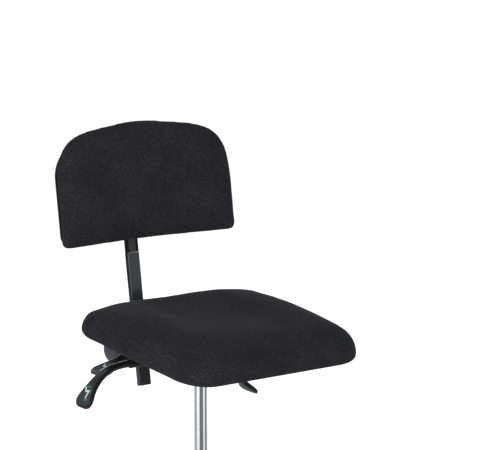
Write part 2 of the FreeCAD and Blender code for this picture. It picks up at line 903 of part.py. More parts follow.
def on_seat(x, y, z):
    return SEAT_FRAME.multiply(Placement(Vector(float(x), float(y), float(z)), Rotation()))


def make_seat_lamella(index):
    """Friction plate that hangs from the carrier, slotted about the seat pivot for the draw bolt."""
    body = new_body(f"seat_lamella_{index + 1}", SEAT_FRAME)
    inner = d.arm_inner + d.sheet_steel + 2 + 3 * index
    face = new_sketch(body, "YZ_Plane", inner)
    under = d.seat_level - d.sheet_steel
    outline(face, [
        (d.seat_draw_y - 13, under),
        (d.seat_draw_y - 13, d.seat_pivot_z - 10, 8),
        (d.seat_draw_y + 14, d.seat_pivot_z - 10, 8),
        (d.seat_draw_y + 14, under),
    ])
    pad(body, face, d.lamella_thick)
    slot = new_sketch(body, "YZ_Plane", inner)
    ahead = float(d.seat_draw_y - d.seat_pivot_y)
    above = float(d.seat_draw_z - d.seat_pivot_z)
    rest = math.atan2(above, ahead) - math.radians(float(d.seat_lean))
    arc_slot(slot, (d.seat_pivot_y, d.seat_pivot_z), math.hypot(ahead, above), float(d.slot_half),
             rest - math.radians(SEAT_TILT[1] + SLOT_SPARE), rest - math.radians(SEAT_TILT[0] - SLOT_SPARE))
    pocket(body, slot, 20, symmetric=True)
    return body


def board_blank(body, low):
    """Outline of the seat board, drawn at a level."""
    sketch = new_sketch(body, "XY_Plane", low)
    inset = d.board_inset
    front, rear = d.seat_front + inset, d.seat_rear - inset
    front_half, rear_half = d.seat_front_half - inset, d.seat_rear_half - inset
    outline(sketch, [
        (-front_half, front, 78),
        (front_half, front, 78),
        (rear_half, rear, 84),
        (-rear_half, rear, 84),
    ])
    return sketch


def make_seat_board():
    body = new_body("seat_board", SEAT_FRAME)
    pad(body, board_blank(body, d.seat_level), d.board_thick)
    for_seat_bolts(body, d.seat_level, TEE_RADIUS + CLEAR, d.board_thick)
    for_seat_bolts(body, d.seat_level + d.board_thick - TEE_THICK - 0.1, TEE_FLANGE + CLEAR, TEE_THICK + 0.1)
    return body


def make_seat_bolts():
    bolts = []
    for index, (x, y) in enumerate(SEAT_BOLT_PLACES):
        under = float(d.seat_level - d.sheet_steel)
        place = on_seat(x, y, under - SEAT_BOLT_HEAD)
        head = hex_piece(f"seat_bolt_head_{index}", place, 7.5, SEAT_BOLT_HEAD)
        shank = primitive("Part::Cylinder", f"seat_bolt_shank_{index}", on_seat(x, y, under - 1),
                          Radius=SEAT_BOLT_RADIUS, Height=d.board_thick + 2)
        bolts.append(combine("Part::Fuse", f"seat_bolt_{index}", head, shank))
    return group("seat_bolts", bolts)


def make_seat_tee_nuts():
    nuts = []
    for index, (x, y) in enumerate(SEAT_BOLT_PLACES):
        low, high = float(d.seat_level), float(d.seat_level + d.board_thick)
        barrel = primitive("Part::Cylinder", f"tee_barrel_{index}", on_seat(x, y, low + 1),
                           Radius=TEE_RADIUS, Height=d.board_thick - 1)
        flange = primitive("Part::Cylinder", f"tee_flange_{index}", on_seat(x, y, high - TEE_THICK),
                           Radius=TEE_FLANGE, Height=TEE_THICK - 0.1)
        solid = combine("Part::Fuse", f"tee_solid_{index}", barrel, flange)
        bore = primitive("Part::Cylinder", f"tee_bore_{index}", on_seat(x, y, low),
                         Radius=SEAT_BOLT_RADIUS + CLEAR, Height=d.board_thick)
        nuts.append(combine("Part::Cut", f"tee_nut_{index}", solid, bore))
    return group("seat_tee_nuts", nuts)


def end_round(distance, length, depth):
    """How far a rounded end draws in at a distance from it, on a quarter ellipse."""
    if distance >= length:
        return 0
    share = 1 - distance / length
    return depth * (1 - math.sqrt(1 - share * share))


def arc_edge(first, middle, last):
    return Part.Arc(first, middle, last).toShape()


def seat_section(y):
    """Slice of the seat cushion: underside that rises to a low nose, sides that lean in, dished top."""
    front, rear = float(d.seat_front), float(d.seat_rear)
    share = (y - front) / (rear - front)
    half = float(d.seat_front_half) + share * float(d.seat_rear_half - d.seat_front_half)
    half += 4 * math.sin(math.pi * share) - end_round(y - front, 66, 54) - end_round(rear - y, 68, 90)
    low = float(d.seat_level) + 0.3 + end_round(y - front, 40, 3) + end_round(rear - y, 40, 3)
    high = float(d.seat_top) - end_round(y - front, 94, 40) - end_round(rear - y, 92, 37)
    dish = 0.6 + float(d.seat_dish) * math.sin(math.pi * max(0, share - 0.25) / 0.75)
    tall = high - low
    base, foot = half - 26, half - 7
    shoulder = half - 21
    inner = shoulder * 0.6
    between = 0.5 * (shoulder + inner)
    sole, heel = low + 0.09 * tall, low + 0.15 * tall
    nose, flank = low + 0.27 * tall, low + 0.6 * tall
    edge, brow = high - 0.1 * tall, high - 0.024 * tall

    def at(x, z):
        return Vector(x, y, z)

    edges = [
        Part.LineSegment(at(-base, low), at(base, low)).toShape(),
        Part.LineSegment(at(base, low), at(foot, sole)).toShape(),
        arc_edge(at(foot, sole), at(half - 1.8, heel), at(half, nose)),
        arc_edge(at(half, nose), at(half - 4, flank), at(shoulder, edge)),
        arc_edge(at(shoulder, edge), at(between, brow), at(inner, high)),
        arc_edge(at(inner, high), at(0, high - dish), at(-inner, high)),
        arc_edge(at(-inner, high), at(-between, brow), at(-shoulder, edge)),
        arc_edge(at(-shoulder, edge), at(4 - half, flank), at(-half, nose)),
        arc_edge(at(-half, nose), at(1.8 - half, heel), at(-foot, sole)),
        Part.LineSegment(at(-foot, sole), at(-base, low)).toShape(),
    ]
    return Part.Wire(edges)


def make_seat_pad():
    """Foam and cover over the board, open below where the board lies in it."""
    front, rear = float(d.seat_front), float(d.seat_rear)
    depth = rear - front
    stations = [0, 0.015, 0.06, 0.12, 0.2, 0.35, 0.55, 0.75, 0.88, 0.95, 0.985, 1]
    sections = [seat_section(front + share * depth) for share in stations]
    cushion = shaped("seat_cushion", Part.makeLoft(sections, True, False), SEAT_FRAME)
    recess = new_body("seat_recess", SEAT_FRAME)
    pad(recess, board_blank(recess, d.seat_level - 5), d.board_thick + 5)
    piece = combine("Part::Cut", "seat_pad", cushion, recess)
    piece.Label = "seat_pad"
    return piece


# Back arm and clamp

KNOB_START, KNOB_NECK, KNOB_FACE, KNOB_CAP, KNOB_RECESS = 1, 28, 68, 11.5, 5


def make_back_arm():
    """Two pressed cheeks with a bridge, from the tilt clamp over the pivot to the post clamp."""
    body = new_body("back_arm")
    steel = d.sheet_steel
    side = new_sketch(body, "YZ_Plane")
    outline(side, [
        (d.back_draw_y - 17, d.back_draw_z - 13, 6),
        (d.back_pivot_y - 24, d.back_pivot_z - 14, 20),
        (d.back_pivot_y - 14, d.back_pivot_z - 20, 12),
        (d.back_pivot_y + 14, d.back_pivot_z - 20, 12),
        (d.back_pivot_y + 32, d.back_pivot_z - 13, 14),
        (d.post_y - 17, d.back_pivot_z - 26, 8),
        (d.post_y - 14, d.back_pivot_z + 15, 8),
        (d.back_pivot_y - 26, d.back_pivot_z + 15, 14),
        (d.back_draw_y - 17, d.back_draw_z + 10, 6),
    ])
    pad(body, side, (d.arm_inner + steel) * 2, symmetric=True)
    gap = new_sketch(body, "XY_Plane", d.back_pivot_z - 40)
    rectangle(gap, -d.arm_inner, d.back_draw_y - 30, d.arm_inner, d.post_y + 10)
    pocket(body, gap, 80, flip=True)
    bridge = new_sketch(body, "XY_Plane", d.back_pivot_z + 15 - steel)
    reach = d.arm_inner + 1
    rectangle(bridge, -reach, d.back_pivot_y + 24, reach, d.post_y - 44)
    pad(body, bridge, steel)
    side_hole(body, d.back_pivot_y, d.back_pivot_z, d.back_pivot_radius + d.running_fit)
    screw = BACK_FRAME.multVec(Vector(0, float(d.clamp_screw_y), float(d.clamp_screw_z)))
    side_hole(body, screw.y, screw.z, d.clamp_screw_radius + CLEAR)
    slot = new_sketch(body, "YZ_Plane")
    back_slot(slot)
    pocket(body, slot, ACROSS, symmetric=True)
    return body


def back_slot(sketch):
    """Slot for the draw bolt about the back pivot, as long as the tilt."""
    ahead = float(d.back_draw_y - d.back_pivot_y)
    above = float(d.back_draw_z - d.back_pivot_z)
    rest = math.atan2(above, ahead)
    arc_slot(sketch, (d.back_pivot_y, d.back_pivot_z), math.hypot(ahead, above), float(d.slot_half),
             rest - math.radians(BACK_TILT[1] + SLOT_SPARE), rest - math.radians(BACK_TILT[0] - SLOT_SPARE))


def make_back_lamella(index):
    """Zinc friction plate on the outer side of the right cheek, slotted like the arm."""
    body = new_body(f"back_lamella_{index + 1}")
    face = new_sketch(body, "YZ_Plane", -(d.arm_inner + d.sheet_steel + d.lamella_thick * (index + 1)))
    outline(face, [
        (d.back_draw_y - 13, d.back_draw_z + 8, 5),
        (d.back_draw_y - 11, d.back_draw_z - 32, 7),
        (d.back_draw_y + 10, d.back_draw_z - 32, 7),
        (d.back_pivot_y + 4, d.back_pivot_z - 14, 9),
        (d.back_pivot_y + 15, d.back_pivot_z, 9),
        (d.back_pivot_y, d.back_pivot_z + 13, 9),
    ])
    pad(body, face, d.lamella_thick)
    slot = new_sketch(body, "YZ_Plane")
    back_slot(slot)
    pocket(body, slot, ACROSS, symmetric=True)
    side_hole(body, d.back_pivot_y, d.back_pivot_z, DOME_NUT_RADIUS + 0.4)
    return body


def make_clamp_bracket():
    """Channel that closes round the post from behind, pinched by the knobs in front."""
    body = new_body("clamp_bracket", BACK_FRAME)
    half, steel = d.arm_inner, d.sheet_steel
    plan = new_sketch(body, "XY_Plane", d.clamp_low)
    rear, front = 16, -36
    outline(plan, [
        (-half, front),
        (-half + steel, front),
        (-half + steel, rear - 3, 3),
        (half - steel, rear - 3, 3),
        (half - steel, front),
        (half, front),
        (half, rear, 6),
        (-half, rear, 6),
    ])
    pad(body, plan, d.clamp_high - d.clamp_low)
    side_hole(body, d.clamp_screw_y, d.clamp_screw_z, d.clamp_screw_radius + CLEAR)
    trim = new_sketch(body, "YZ_Plane")
    outline(trim, [
        (front - 4, d.clamp_low - 4),
        (front + 22, d.clamp_low - 4),
        (front - 4, d.clamp_low + 34),
    ])
    pocket(body, trim, ACROSS, symmetric=True)
    return body


def post_outline(sketch, shrink, radius):
    half, deep = d.post_half_wide - shrink, d.post_half_deep - shrink
    rectangle(sketch, -half, -deep, half, deep, radius)


def make_clamp_bush():
    """Moulded sleeve in the clamp with a collar on top, bored for the post."""
    body = new_body("clamp_bush", BACK_FRAME)
    half = d.arm_inner - d.sheet_steel - CLEAR
    sleeve = new_sketch(body, "XY_Plane", d.clamp_low + 2)
    rectangle(sleeve, -half, -11, half, 13 - CLEAR, 3.5)
    pad(body, sleeve, d.clamp_high - d.clamp_low - 2 + 1)
    collar = new_sketch(body, "XY_Plane", d.clamp_high + CLEAR)
    rectangle(collar, -half - 4, -13, half + 4, 17, 4)
    pad(body, collar, 5)
    bore = new_sketch(body, "XY_Plane", d.clamp_low - 5)
    post_outline(bore, -d.running_fit, 3.4)
    pocket(body, bore, 120, flip=True)
    return body


def make_clamp_screw():
    place = BACK_FRAME.multiply(along_x(0, d.clamp_screw_y, d.clamp_screw_z, 1))
    reach = d.arm_inner + 38
    return turned("clamp_screw", [
        (0, -reach),
        (d.clamp_screw_radius - 1, -reach),
        (d.clamp_screw_radius, -reach + 1),
        (d.clamp_screw_radius, reach - 1),
        (d.clamp_screw_radius - 1, reach),
        (0, reach),
    ], place)


def knob_place(side):
    start = float(d.arm_inner + d.sheet_steel) * side
    return BACK_FRAME.multiply(along_x(start, d.clamp_screw_y, d.clamp_screw_z, side))


def make_clamp_knob(name, side):
    """Lobed hand knob: a neck, a fluted conical skirt and a recess for its cap."""
    rim = d.knob_radius
    body = new_body(f"clamp_knob_{name}", knob_place(side))
    profile = new_sketch(body, "XZ_Plane")
    bore = d.clamp_screw_radius + CLEAR
    outline(profile, [
        (bore, KNOB_START),
        (11, KNOB_START),
        (12, KNOB_NECK, 3),
        (rim - 3, KNOB_NECK + 4, 3),
        (rim, KNOB_NECK + 10, 4),
        (rim - 5, KNOB_FACE - 6, 5),
        (KNOB_CAP + 3, KNOB_FACE - 1, 2),
        (KNOB_CAP + CLEAR, KNOB_FACE - 1),
        (KNOB_CAP + CLEAR, KNOB_FACE - KNOB_RECESS),
        (0, KNOB_FACE - KNOB_RECESS),
        (0, KNOB_FACE - 28),
        (bore, KNOB_FACE - 28),
    ])
    revolve(body, profile)
    flute_sketch = new_sketch(body, "XY_Plane", KNOB_FACE + 10)
    circle(flute_sketch, rim + 4, 0, 8)
    flute = pocket(body, flute_sketch, KNOB_FACE + 10 - KNOB_NECK - 1)
    polar_pattern(body, [flute], d.knob_lobes)
    return body


def make_knob_cap(name, side):
    return turned(f"knob_cap_{name}", [
        (0, KNOB_FACE - KNOB_RECESS),
        (KNOB_CAP, KNOB_FACE - KNOB_RECESS),
        (KNOB_CAP, KNOB_FACE - 0.6),
        (KNOB_CAP - 2, KNOB_FACE + 0.6),
        (0, KNOB_FACE + 1.4),
    ], knob_place(side))


# Backrest

BAR_HALF, BAR_HALF_THICK = 11, 4
PLATE_HALF, PLATE_THICK = 36, 4
BACK_SCREW_PLACES = [(x, up) for x in (-26, 26) for up in (74, 122)]
BACK_SCREW_RADIUS = 2.4


def make_back_post():
    body = new_body("back_post", BACK_FRAME)
    section = new_sketch(body, "XY_Plane", d.post_low)
    post_outline(section, 0, 3.5)
    post_outline(section, d.post_wall, 1.6)
    pad(body, section, d.post_high - d.post_low)
    return body


def make_post_end_cap():
    body = new_body("post_end_cap", BACK_FRAME)
    face = new_sketch(body, "XY_Plane", d.post_low - 3)
    post_outline(face, 0.2, 3.5)
    pad(body, face, 3)
    plug = new_sketch(body, "XY_Plane", d.post_low)
    post_outline(plug, d.post_wall + 0.1, 1.6)
    pad(body, plug, 14)
    return body


def make_bracket_cover():
    """Dark channel between the top of the post and the backrest, open to the front."""
    body = new_body("bracket_cover", BACK_FRAME)
    ring = new_sketch(body, "XY_Plane", d.post_high)
    post_outline(ring, 0.5, 3)
    wide, thick = BAR_HALF + CLEAR, BAR_HALF_THICK + CLEAR
    rectangle(ring, -wide, -thick, wide, thick)
    tall = d.back_low - d.post_high + 4
    pad(body, ring, tall)
    mouth = new_sketch(body, "XY_Plane", d.post_high)
    rectangle(mouth, -wide, -d.post_half_deep - 1, wide, 0)
    pocket(body, mouth, tall * 2, symmetric=True)
    return body


def make_back_bracket():
    """Bar from inside the post, cranked forward to a plate on the back shell."""
    body = new_body("back_bracket", BACK_FRAME)
    low = d.back_low
    face = d.shell_rear + 0.1
    thick = BAR_HALF_THICK
    bar = new_sketch(body, "YZ_Plane")
    outline(bar, [
        (-thick, d.post_high - 42),
        (thick, d.post_high - 42),
        (thick, low + 16, 8),
        (face + 2 * thick, low + 60, 8),
        (face + 2 * thick, low + 128),
        (face, low + 128),
        (face, low + 52, 8),
        (-thick, low + 10, 8),
    ])
    pad(body, bar, BAR_HALF * 2, symmetric=True)
    plate = new_sketch(body, "XZ_Plane", -face)
    rectangle(plate, -PLATE_HALF, low + 62, PLATE_HALF, low + 134, 8)
    pad(body, plate, PLATE_THICK, flip=True)
    holes = new_sketch(body, "XZ_Plane", -face)
    for x, up in BACK_SCREW_PLACES:
        circle(holes, x, low + up, BACK_SCREW_RADIUS + 0.2)
    pocket(body, holes, 60, symmetric=True)
    return body


def back_screw_place(x, up, y):
    turn = Rotation(Vector(1, 0, 0), 90)
    return BACK_FRAME.multiply(Placement(Vector(x, y, float(d.back_low) + up), turn))


def make_back_screws():
    """Pan head screws through the plate and the shell into the board."""
    screws = []
    head_high = 2.6
    seat_face = float(d.shell_rear) + PLATE_THICK + 0.1
    for index, (x, up) in enumerate(BACK_SCREW_PLACES):
        place = back_screw_place(x, up, seat_face + head_high)
        head = primitive("Part::Cylinder", f"screw_head_{index}", place, Radius=4.8, Height=head_high)
        sunk = back_screw_place(x, up, seat_face + 1)
        shank = primitive("Part::Cylinder", f"screw_shank_{index}", sunk, Radius=BACK_SCREW_RADIUS, Height=16)
        screws.append(combine("Part::Fuse", f"back_screw_{index}", head, shank))
    return group("back_screws", screws)


def arched(label, inset, low_inset):
    """Upright slab with the backrest's outline: parallel sides under a low dome."""
    body = new_body(label)
    sketch = new_sketch(body, "XZ_Plane", 140)
    half = d.back_half - inset
    low, high = d.back_low + low_inset, d.back_high - inset
    outline(sketch, [
        (-half, low, d.back_corner),
        (half, low, d.back_corner),
        (half, high - d.dome_drop, d.dome_corner),
        (0, high, d.dome_radius),
        (-half, high - d.dome_drop, d.dome_corner),
    ])
    pad(body, sketch, 160, flip=True)
    return body


def bent_slab(label, outer, thick):
    """Sheet bent in plan about an upright axis in front of the backrest."""
    centre = float(d.shell_rear - d.back_bend)
    place = Placement(Vector(0, centre, float(d.back_low) - 10), Rotation())
    tall = float(d.back_high - d.back_low) + 20
    ring = primitive("Part::Cylinder", label + "_outer", place, Radius=outer, Height=tall)
    core = primitive("Part::Cylinder", label + "_inner", place, Radius=outer - thick, Height=tall)
    return combine("Part::Cut", label + "_tube", ring, core)


def make_bent_panel(label, outer, thick, inset, low_inset, hole_radius):
    arch = arched(label + "_arch", inset, low_inset)
    panel = combine("Part::Common", label + "_panel", bent_slab(label, outer, thick), arch)
    drills = []
    for index, (x, up) in enumerate(BACK_SCREW_PLACES):
        place = Placement(Vector(x, 0, float(d.back_low) + up), Rotation(Vector(1, 0, 0), 90))
        name = f"{label}_drill_{index}"
        drills.append(primitive("Part::Cylinder", name, place, Radius=hole_radius, Height=80))
    drill = group(label + "_drills", drills)
    piece = combine("Part::Cut", label, panel, drill)
    piece.Label = label
    piece.Placement = BACK_FRAME
    return piece


def make_back_shell():
    return make_bent_panel("back_shell", d.back_bend, d.shell_thick, 6, 6, BACK_SCREW_RADIUS + 0.2)


def make_back_board():
    outer = d.back_bend - d.shell_thick - CLEAR
    return make_bent_panel("back_board", outer, d.back_board_thick, 14, 14, BACK_SCREW_RADIUS + CLEAR)


def dome_height(x):
    """Top edge of the backrest above its bottom edge's level, at a distance from the middle."""
    half = float(d.back_half)
    share = abs(x) / half
    return float(d.back_high) - 36 * share ** 1.6 - end_round(half - abs(x), 62, 68)


def back_section(x):
    """Slice of the backrest cushion: flat against the board, drawn-in edges, crowned front."""
    half = float(d.back_half)
    bend = float(d.back_bend - d.shell_thick - d.back_board_thick) - 0.1
    rear = float(d.shell_rear - d.back_bend) + math.sqrt(bend * bend - x * x)
    thick = float(d.back_foam) - end_round(half - abs(x), 46, 26)
    low = float(d.back_low) + end_round(half - abs(x), 16, 16)
    high = dome_height(x)
    tall = high - low
    front = rear - thick
    foot, brow = low + 7, high - 7
    inner_low, inner_high = low + 0.16 * tall, high - 0.2 * tall

    def at(y, z):
        return Vector(x, y, z)

    edges = [
        Part.LineSegment(at(rear, brow), at(rear, foot)).toShape(),
        arc_edge(at(rear, foot), at(rear - 0.5 * thick, low), at(front + 0.2 * thick, low + 0.05 * tall)),
        arc_edge(at(front + 0.2 * thick, low + 0.05 * tall), at(front + 0.04 * thick, inner_low),
                 at(front, low + 0.42 * tall)),
        arc_edge(at(front, low + 0.42 * tall), at(front + 0.06 * thick, inner_high),
                 at(front + 0.28 * thick, high - 0.06 * tall)),
        arc_edge(at(front + 0.28 * thick, high - 0.06 * tall), at(rear - 0.5 * thick, high), at(rear, brow)),
    ]
    return Part.Wire(edges)


def make_back_pad():
    half = float(d.back_half)
    shares = [1, 0.985, 0.94, 0.86, 0.72, 0.4]
    stations = [-share for share in shares] + [0] + shares[::-1]
    sections = [back_section(share * half) for share in stations]
    return shaped("back_pad", Part.makeLoft(sections, True, False), BACK_FRAME)


# Levers

CAM_WIDE = 18
TANG_START, TANG_END, TANG_WIDE, TANG_THICK = 15, 36, 9, 6
SLEEVE_RADIUS, RIB_RADIUS, RIB_THICK, RIB_EDGE = 8.8, 10.6, 2.6, 0.5
ARM_WIDE, ARM_THICK, ARM_EYE = 12, 4, 3.5


def make_lever_cam(label, y, z, lever_side, rise):
    """Forked cam on the eye of a draw bolt, with a tang for the grip. Rise lifts its outer end."""
    turn = Rotation(Vector(0, 1, 0), -rise * lever_side)
    if lever_side < 0:
        turn = turn.multiply(Rotation(Vector(0, 0, 1), 180))
    body = new_body(label, Placement(Vector(float(d.cam_reach) * lever_side, float(y), float(z)), turn))
    disc = new_sketch(body, "XZ_Plane")
    circle(disc, 0, 0, d.cam_radius)
    pad(body, disc, CAM_WIDE, symmetric=True)
    neck = new_sketch(body, "XZ_Plane")
    rectangle(neck, 0, -6.5, 17, 6.5)
    pad(body, neck, CAM_WIDE, symmetric=True)
    tang = new_sketch(body, "XZ_Plane")
    rectangle(tang, TANG_START, -TANG_THICK / 2, TANG_END, TANG_THICK / 2)
    pad(body, tang, TANG_WIDE, symmetric=True)
    eye = new_sketch(body, "XY_Plane")
    rectangle(eye, -12, -6, 8.5, 6)
    pocket(body, eye, 40, symmetric=True)
    hole = new_sketch(body, "XZ_Plane")
    circle(hole, 0, 0, d.lever_pin_radius + d.running_fit)
    pocket(body, hole, 40, symmetric=True)
    return body


def rounded_section(centre, along, half_wide, half_thick):
    """Rounded oblong across a lever, level from side to side."""
    side = along.cross(Vector(0, 0, 1)).normalize()
    up = side.cross(along).normalize()
    corner = 0.9 * min(half_wide, half_thick)
    flat_wide, flat_thick = half_wide - corner, half_thick - corner
    bend = corner * math.sqrt(0.5)

    def at(across, over):
        return centre + side * across + up * over

    edges = []
    for turn in range(4):
        sign_a, sign_b = ((1, 1), (-1, 1), (-1, -1), (1, -1))[turn]
        beside = at(sign_a * half_wide, sign_b * flat_thick)
        middle = at(sign_a * (flat_wide + bend), sign_b * (flat_thick + bend))
        above = at(sign_a * flat_wide, sign_b * half_thick)
        first, last = (beside, above) if sign_a * sign_b > 0 else (above, beside)
        if edges:
            edges.append(Part.LineSegment(edges[-1].Vertexes[-1].Point, first).toShape())
        edges.append(arc_edge(first, middle, last))
    edges.append(Part.LineSegment(edges[-1].Vertexes[-1].Point, edges[0].Vertexes[0].Point).toShape())
    return Part.Wire(edges)


def ribbed_sleeve(start, finish, ribs):
    """Round sleeve with even ribs along it, turned about its own line."""
    length = (finish - start).Length
    pitch = length / ribs
    profile = [Vector(0, 0, 0), Vector(SLEEVE_RADIUS, 0, 0)]
    for rib in range(ribs):
        low = pitch * (rib + 0.5) - RIB_THICK / 2
        profile += [
            Vector(SLEEVE_RADIUS, 0, low),
            Vector(RIB_RADIUS, 0, low + RIB_EDGE),
            Vector(RIB_RADIUS, 0, low + RIB_THICK - RIB_EDGE),
            Vector(SLEEVE_RADIUS, 0, low + RIB_THICK),
        ]
    profile += [Vector(SLEEVE_RADIUS, 0, length), Vector(0, 0, length), profile[0]]
    sleeve = Part.Face(Part.makePolygon(profile)).revolve(Vector(), Vector(0, 0, 1), 360)
    sleeve.Placement = Placement(start, Rotation(Vector(0, 0, 1), finish - start))
    return sleeve


def make_lever_grip(label, start, finish, ribs, stations, socket):
    """Moulded grip: a ribbed sleeve, then a neck that flattens into a paddle.
    A station of the neck and paddle is x, y, z, half width, half thickness."""
    run = (finish - start).normalize()
    rooted = [tuple(finish - run * 7) + (7, 6.6), tuple(finish - run) + (7.8, 7.2)] + stations
    centres = [Vector(*station[:3]) for station in rooted]
    sections = []
    for index, station in enumerate(rooted):
        ahead = centres[min(index + 1, len(centres) - 1)]
        behind = centres[max(index - 1, 0)]
        sections.append(rounded_section(centres[index], (ahead - behind).normalize(), station[3], station[4]))
    paddle = Part.makeLoft(sections, True, False)
    grip = ribbed_sleeve(start, finish, ribs).fuse(paddle).cut(socket)
    return shaped(label, grip)


def tang_socket(cam):
    """Room for a cam's tang in its grip."""
    return socket_room(TANG_START, TANG_END - TANG_START + CLEAR, TANG_WIDE, TANG_THICK, cam.Placement)


def socket_room(start, length, wide, thick, placement):
    """Box round a flat tang, with a little room on each side."""
    corner = Vector(start, -wide / 2 - CLEAR, -thick / 2 - CLEAR)
    room = Part.makeBox(length, wide + 2 * CLEAR, thick + 2 * CLEAR, corner)
    room.Placement = placement
    return room


def make_back_lever_grip(cam):
    y = float(d.back_draw_y)
    return make_lever_grip("back_lever_grip", Vector(-76.2, y, 475.8), Vector(-147, y - 6, 483.5), 14, [
        (-159, y - 8, 478.2, 9.5, 6.4),
        (-168, y - 8, 474.2, 13, 5.8),
        (-177, y - 9, 470, 20, 5.4),
        (-189, y - 9, 465.5, 25.5, 5),
        (-200, y - 10, 462, 28, 4.6),
        (-208, y - 10, 460.5, 26.5, 4.2),
        (-214, y - 10, 459.6, 21, 3.7),
        (-217.5, y - 10, 459.2, 13, 3),
    ], tang_socket(cam))


def make_seat_lever_grip(cam):
    y = float(d.seat_draw_y)
    return make_lever_grip("seat_lever_grip", Vector(70, y, 472), Vector(110, y - 4, 424), 13, [
        (117, y - 5, 414.5, 9.5, 6.4),
        (124, y - 5, 405.5, 13, 5.8),
        (131, y - 6, 397, 20, 5.4),
        (139, y - 7, 388.5, 25.5, 5),
        (146, y - 7, 381.5, 28, 4.6),
        (151.5, y - 7, 376.5, 26.5, 4.2),
        (156, y - 7, 373, 21, 3.7),
        (158.5, y - 7, 371, 13, 3),
    ], tang_socket(cam))


def make_height_lever_arm():
    """Bent bar over the release pin, hung on its own pin."""
    body = new_body("height_lever_arm")
    low = d.height_arm_z
    bar = new_sketch(body, "XZ_Plane", -d.height_lever_y)
    outline(bar, [
        (7, low),
        (7, low + ARM_THICK),
        (-57, low + ARM_THICK, 6),
        (-89, low - 9.5, 6),
        (-112, low - 12.5),
        (-112, low - 16.5),
        (-90, low - 13.5, 6),
        (-58, low, 6),
    ])
    pad(body, bar, ARM_WIDE, symmetric=True)
    lug = new_sketch(body, "XZ_Plane", -d.height_lever_y)
    circle(lug, d.height_pin_x, low - ARM_EYE, 5)
    pad(body, lug, ARM_WIDE, symmetric=True)
    hole = new_sketch(body, "XZ_Plane", -d.height_lever_y)
    circle(hole, d.height_pin_x, low - ARM_EYE, d.lever_pin_radius + d.running_fit)
    pocket(body, hole, 30, symmetric=True)
    return body


def make_height_lever_saddle():
    """Small channel on the housing wall that holds the height lever's pin."""
    body = new_body("height_lever_saddle")
    wall = -(d.housing_half - d.sheet_steel)
    y = d.height_lever_y
    plan = new_sketch(body, "XY_Plane", d.height_arm_z - 22)
    outline(plan, [
        (wall, y - 9),
        (wall + 14, y - 9),
        (wall + 14, y - 7),
        (wall + 2, y - 7),
        (wall + 2, y + 7),
        (wall + 14, y + 7),
        (wall + 14, y + 9),
        (wall, y + 9),
    ])
    pad(body, plan, 20)
    hole = new_sketch(body, "XZ_Plane", -y)
    circle(hole, d.height_pin_x, d.height_arm_z - ARM_EYE, d.lever_pin_radius + CLEAR)
    pocket(body, hole, 60, symmetric=True)
    return body


def make_height_lever_pin():
    place = Placement(
        Vector(float(d.height_pin_x), float(d.height_lever_y) - 10, float(d.height_arm_z) - ARM_EYE),
        Rotation(Vector(1, 0, 0), -90))
    return turned("height_lever_pin", [
        (0, 0),
        (d.lever_pin_radius, 0),
        (d.lever_pin_radius, 20),
        (0, 20),
    ], place)


def make_height_lever_grip():
    y = float(d.height_lever_y)
    slope = math.degrees(math.atan2(3, 22))
    mouth = Placement(Vector(-89.6, y, float(d.height_arm_z) - 11.55), Rotation(Vector(0, 1, 0), -slope))
    socket = socket_room(-24, 24, ARM_WIDE, ARM_THICK + 0.6, mouth)
    return make_lever_grip("height_lever_grip", Vector(-92, y, 487.5), Vector(-171, y, 486), 15, [
        (-187, y, 485.4, 8.8, 6.8),
        (-204, y, 483.2, 9.2, 6.4),
        (-224, y, 477, 10.5, 6),
        (-243, y, 465, 13, 5.6),
        (-257, y, 451.5, 16.5, 5.3),
        (-267.5, y, 438, 22, 5),
        (-275, y, 426.5, 27, 4.6),
        (-279.5, y, 418.5, 26.5, 4.2),
        (-282.5, y, 412.8, 21, 3.7),
        (-284, y, 409.8, 13, 3),
    ], socket)


# The whole chair

back_cam = make_lever_cam("back_lever_cam", d.back_draw_y, d.back_draw_z, -1, 8)
seat_cam = make_lever_cam("seat_lever_cam", d.seat_draw_y, d.seat_draw_z, 1, -50)
doc.recompute()

pieces = [make_base_star()]
pieces += [make_glide(index) for index in range(int(float(d.leg_count)))]
pieces += [
    make_outer_tube(),
    make_guide_bush(),
    make_thrust_bearing(),
    make_piston_rod(),
    make_piston_head(),
    make_rod_clip(),
    make_gas_cylinder(),
    make_release_pin(),
    make_column_socket(),
    make_mechanism_housing(),
    make_pivot_fork(),
    make_front_pivot_bolt(),
    make_front_pivot_nut(),
    make_back_pivot_pin(),
    make_dome_nut("right", -1),
    make_dome_nut("left", 1),
    make_draw_bolt("seat_draw_bolt", d.seat_draw_y, d.seat_draw_z, 1),
    make_draw_bolt("back_draw_bolt", d.back_draw_y, d.back_draw_z, -1),
    make_lever_pin("seat_lever_pin", d.seat_draw_y, d.seat_draw_z, 1),
    make_lever_pin("back_lever_pin", d.back_draw_y, d.back_draw_z, -1),
    make_seat_spring(),
    make_seat_carrier(),
    make_seat_lamella(0),
    make_seat_lamella(1),
    make_seat_board(),
    make_seat_bolts(),
    make_seat_tee_nuts(),
    make_seat_pad(),
    make_back_arm(),
    make_back_lamella(0),
    make_back_lamella(1),
    make_clamp_bracket(),
    make_clamp_bush(),
    make_clamp_screw(),
    make_clamp_knob("right", -1),
    make_clamp_knob("left", 1),
    make_knob_cap("right", -1),
    make_knob_cap("left", 1),
    make_back_post(),
    make_post_end_cap(),
    make_bracket_cover(),
    make_back_bracket(),
    make_back_screws(),
    make_back_shell(),
    make_back_board(),
    make_back_pad(),
    back_cam,
    make_back_lever_grip(back_cam),
    seat_cam,
    make_seat_lever_grip(seat_cam),
    make_height_lever_arm(),
    make_height_lever_saddle(),
    make_height_lever_pin(),
    make_height_lever_grip(),
]
doc.recompute()

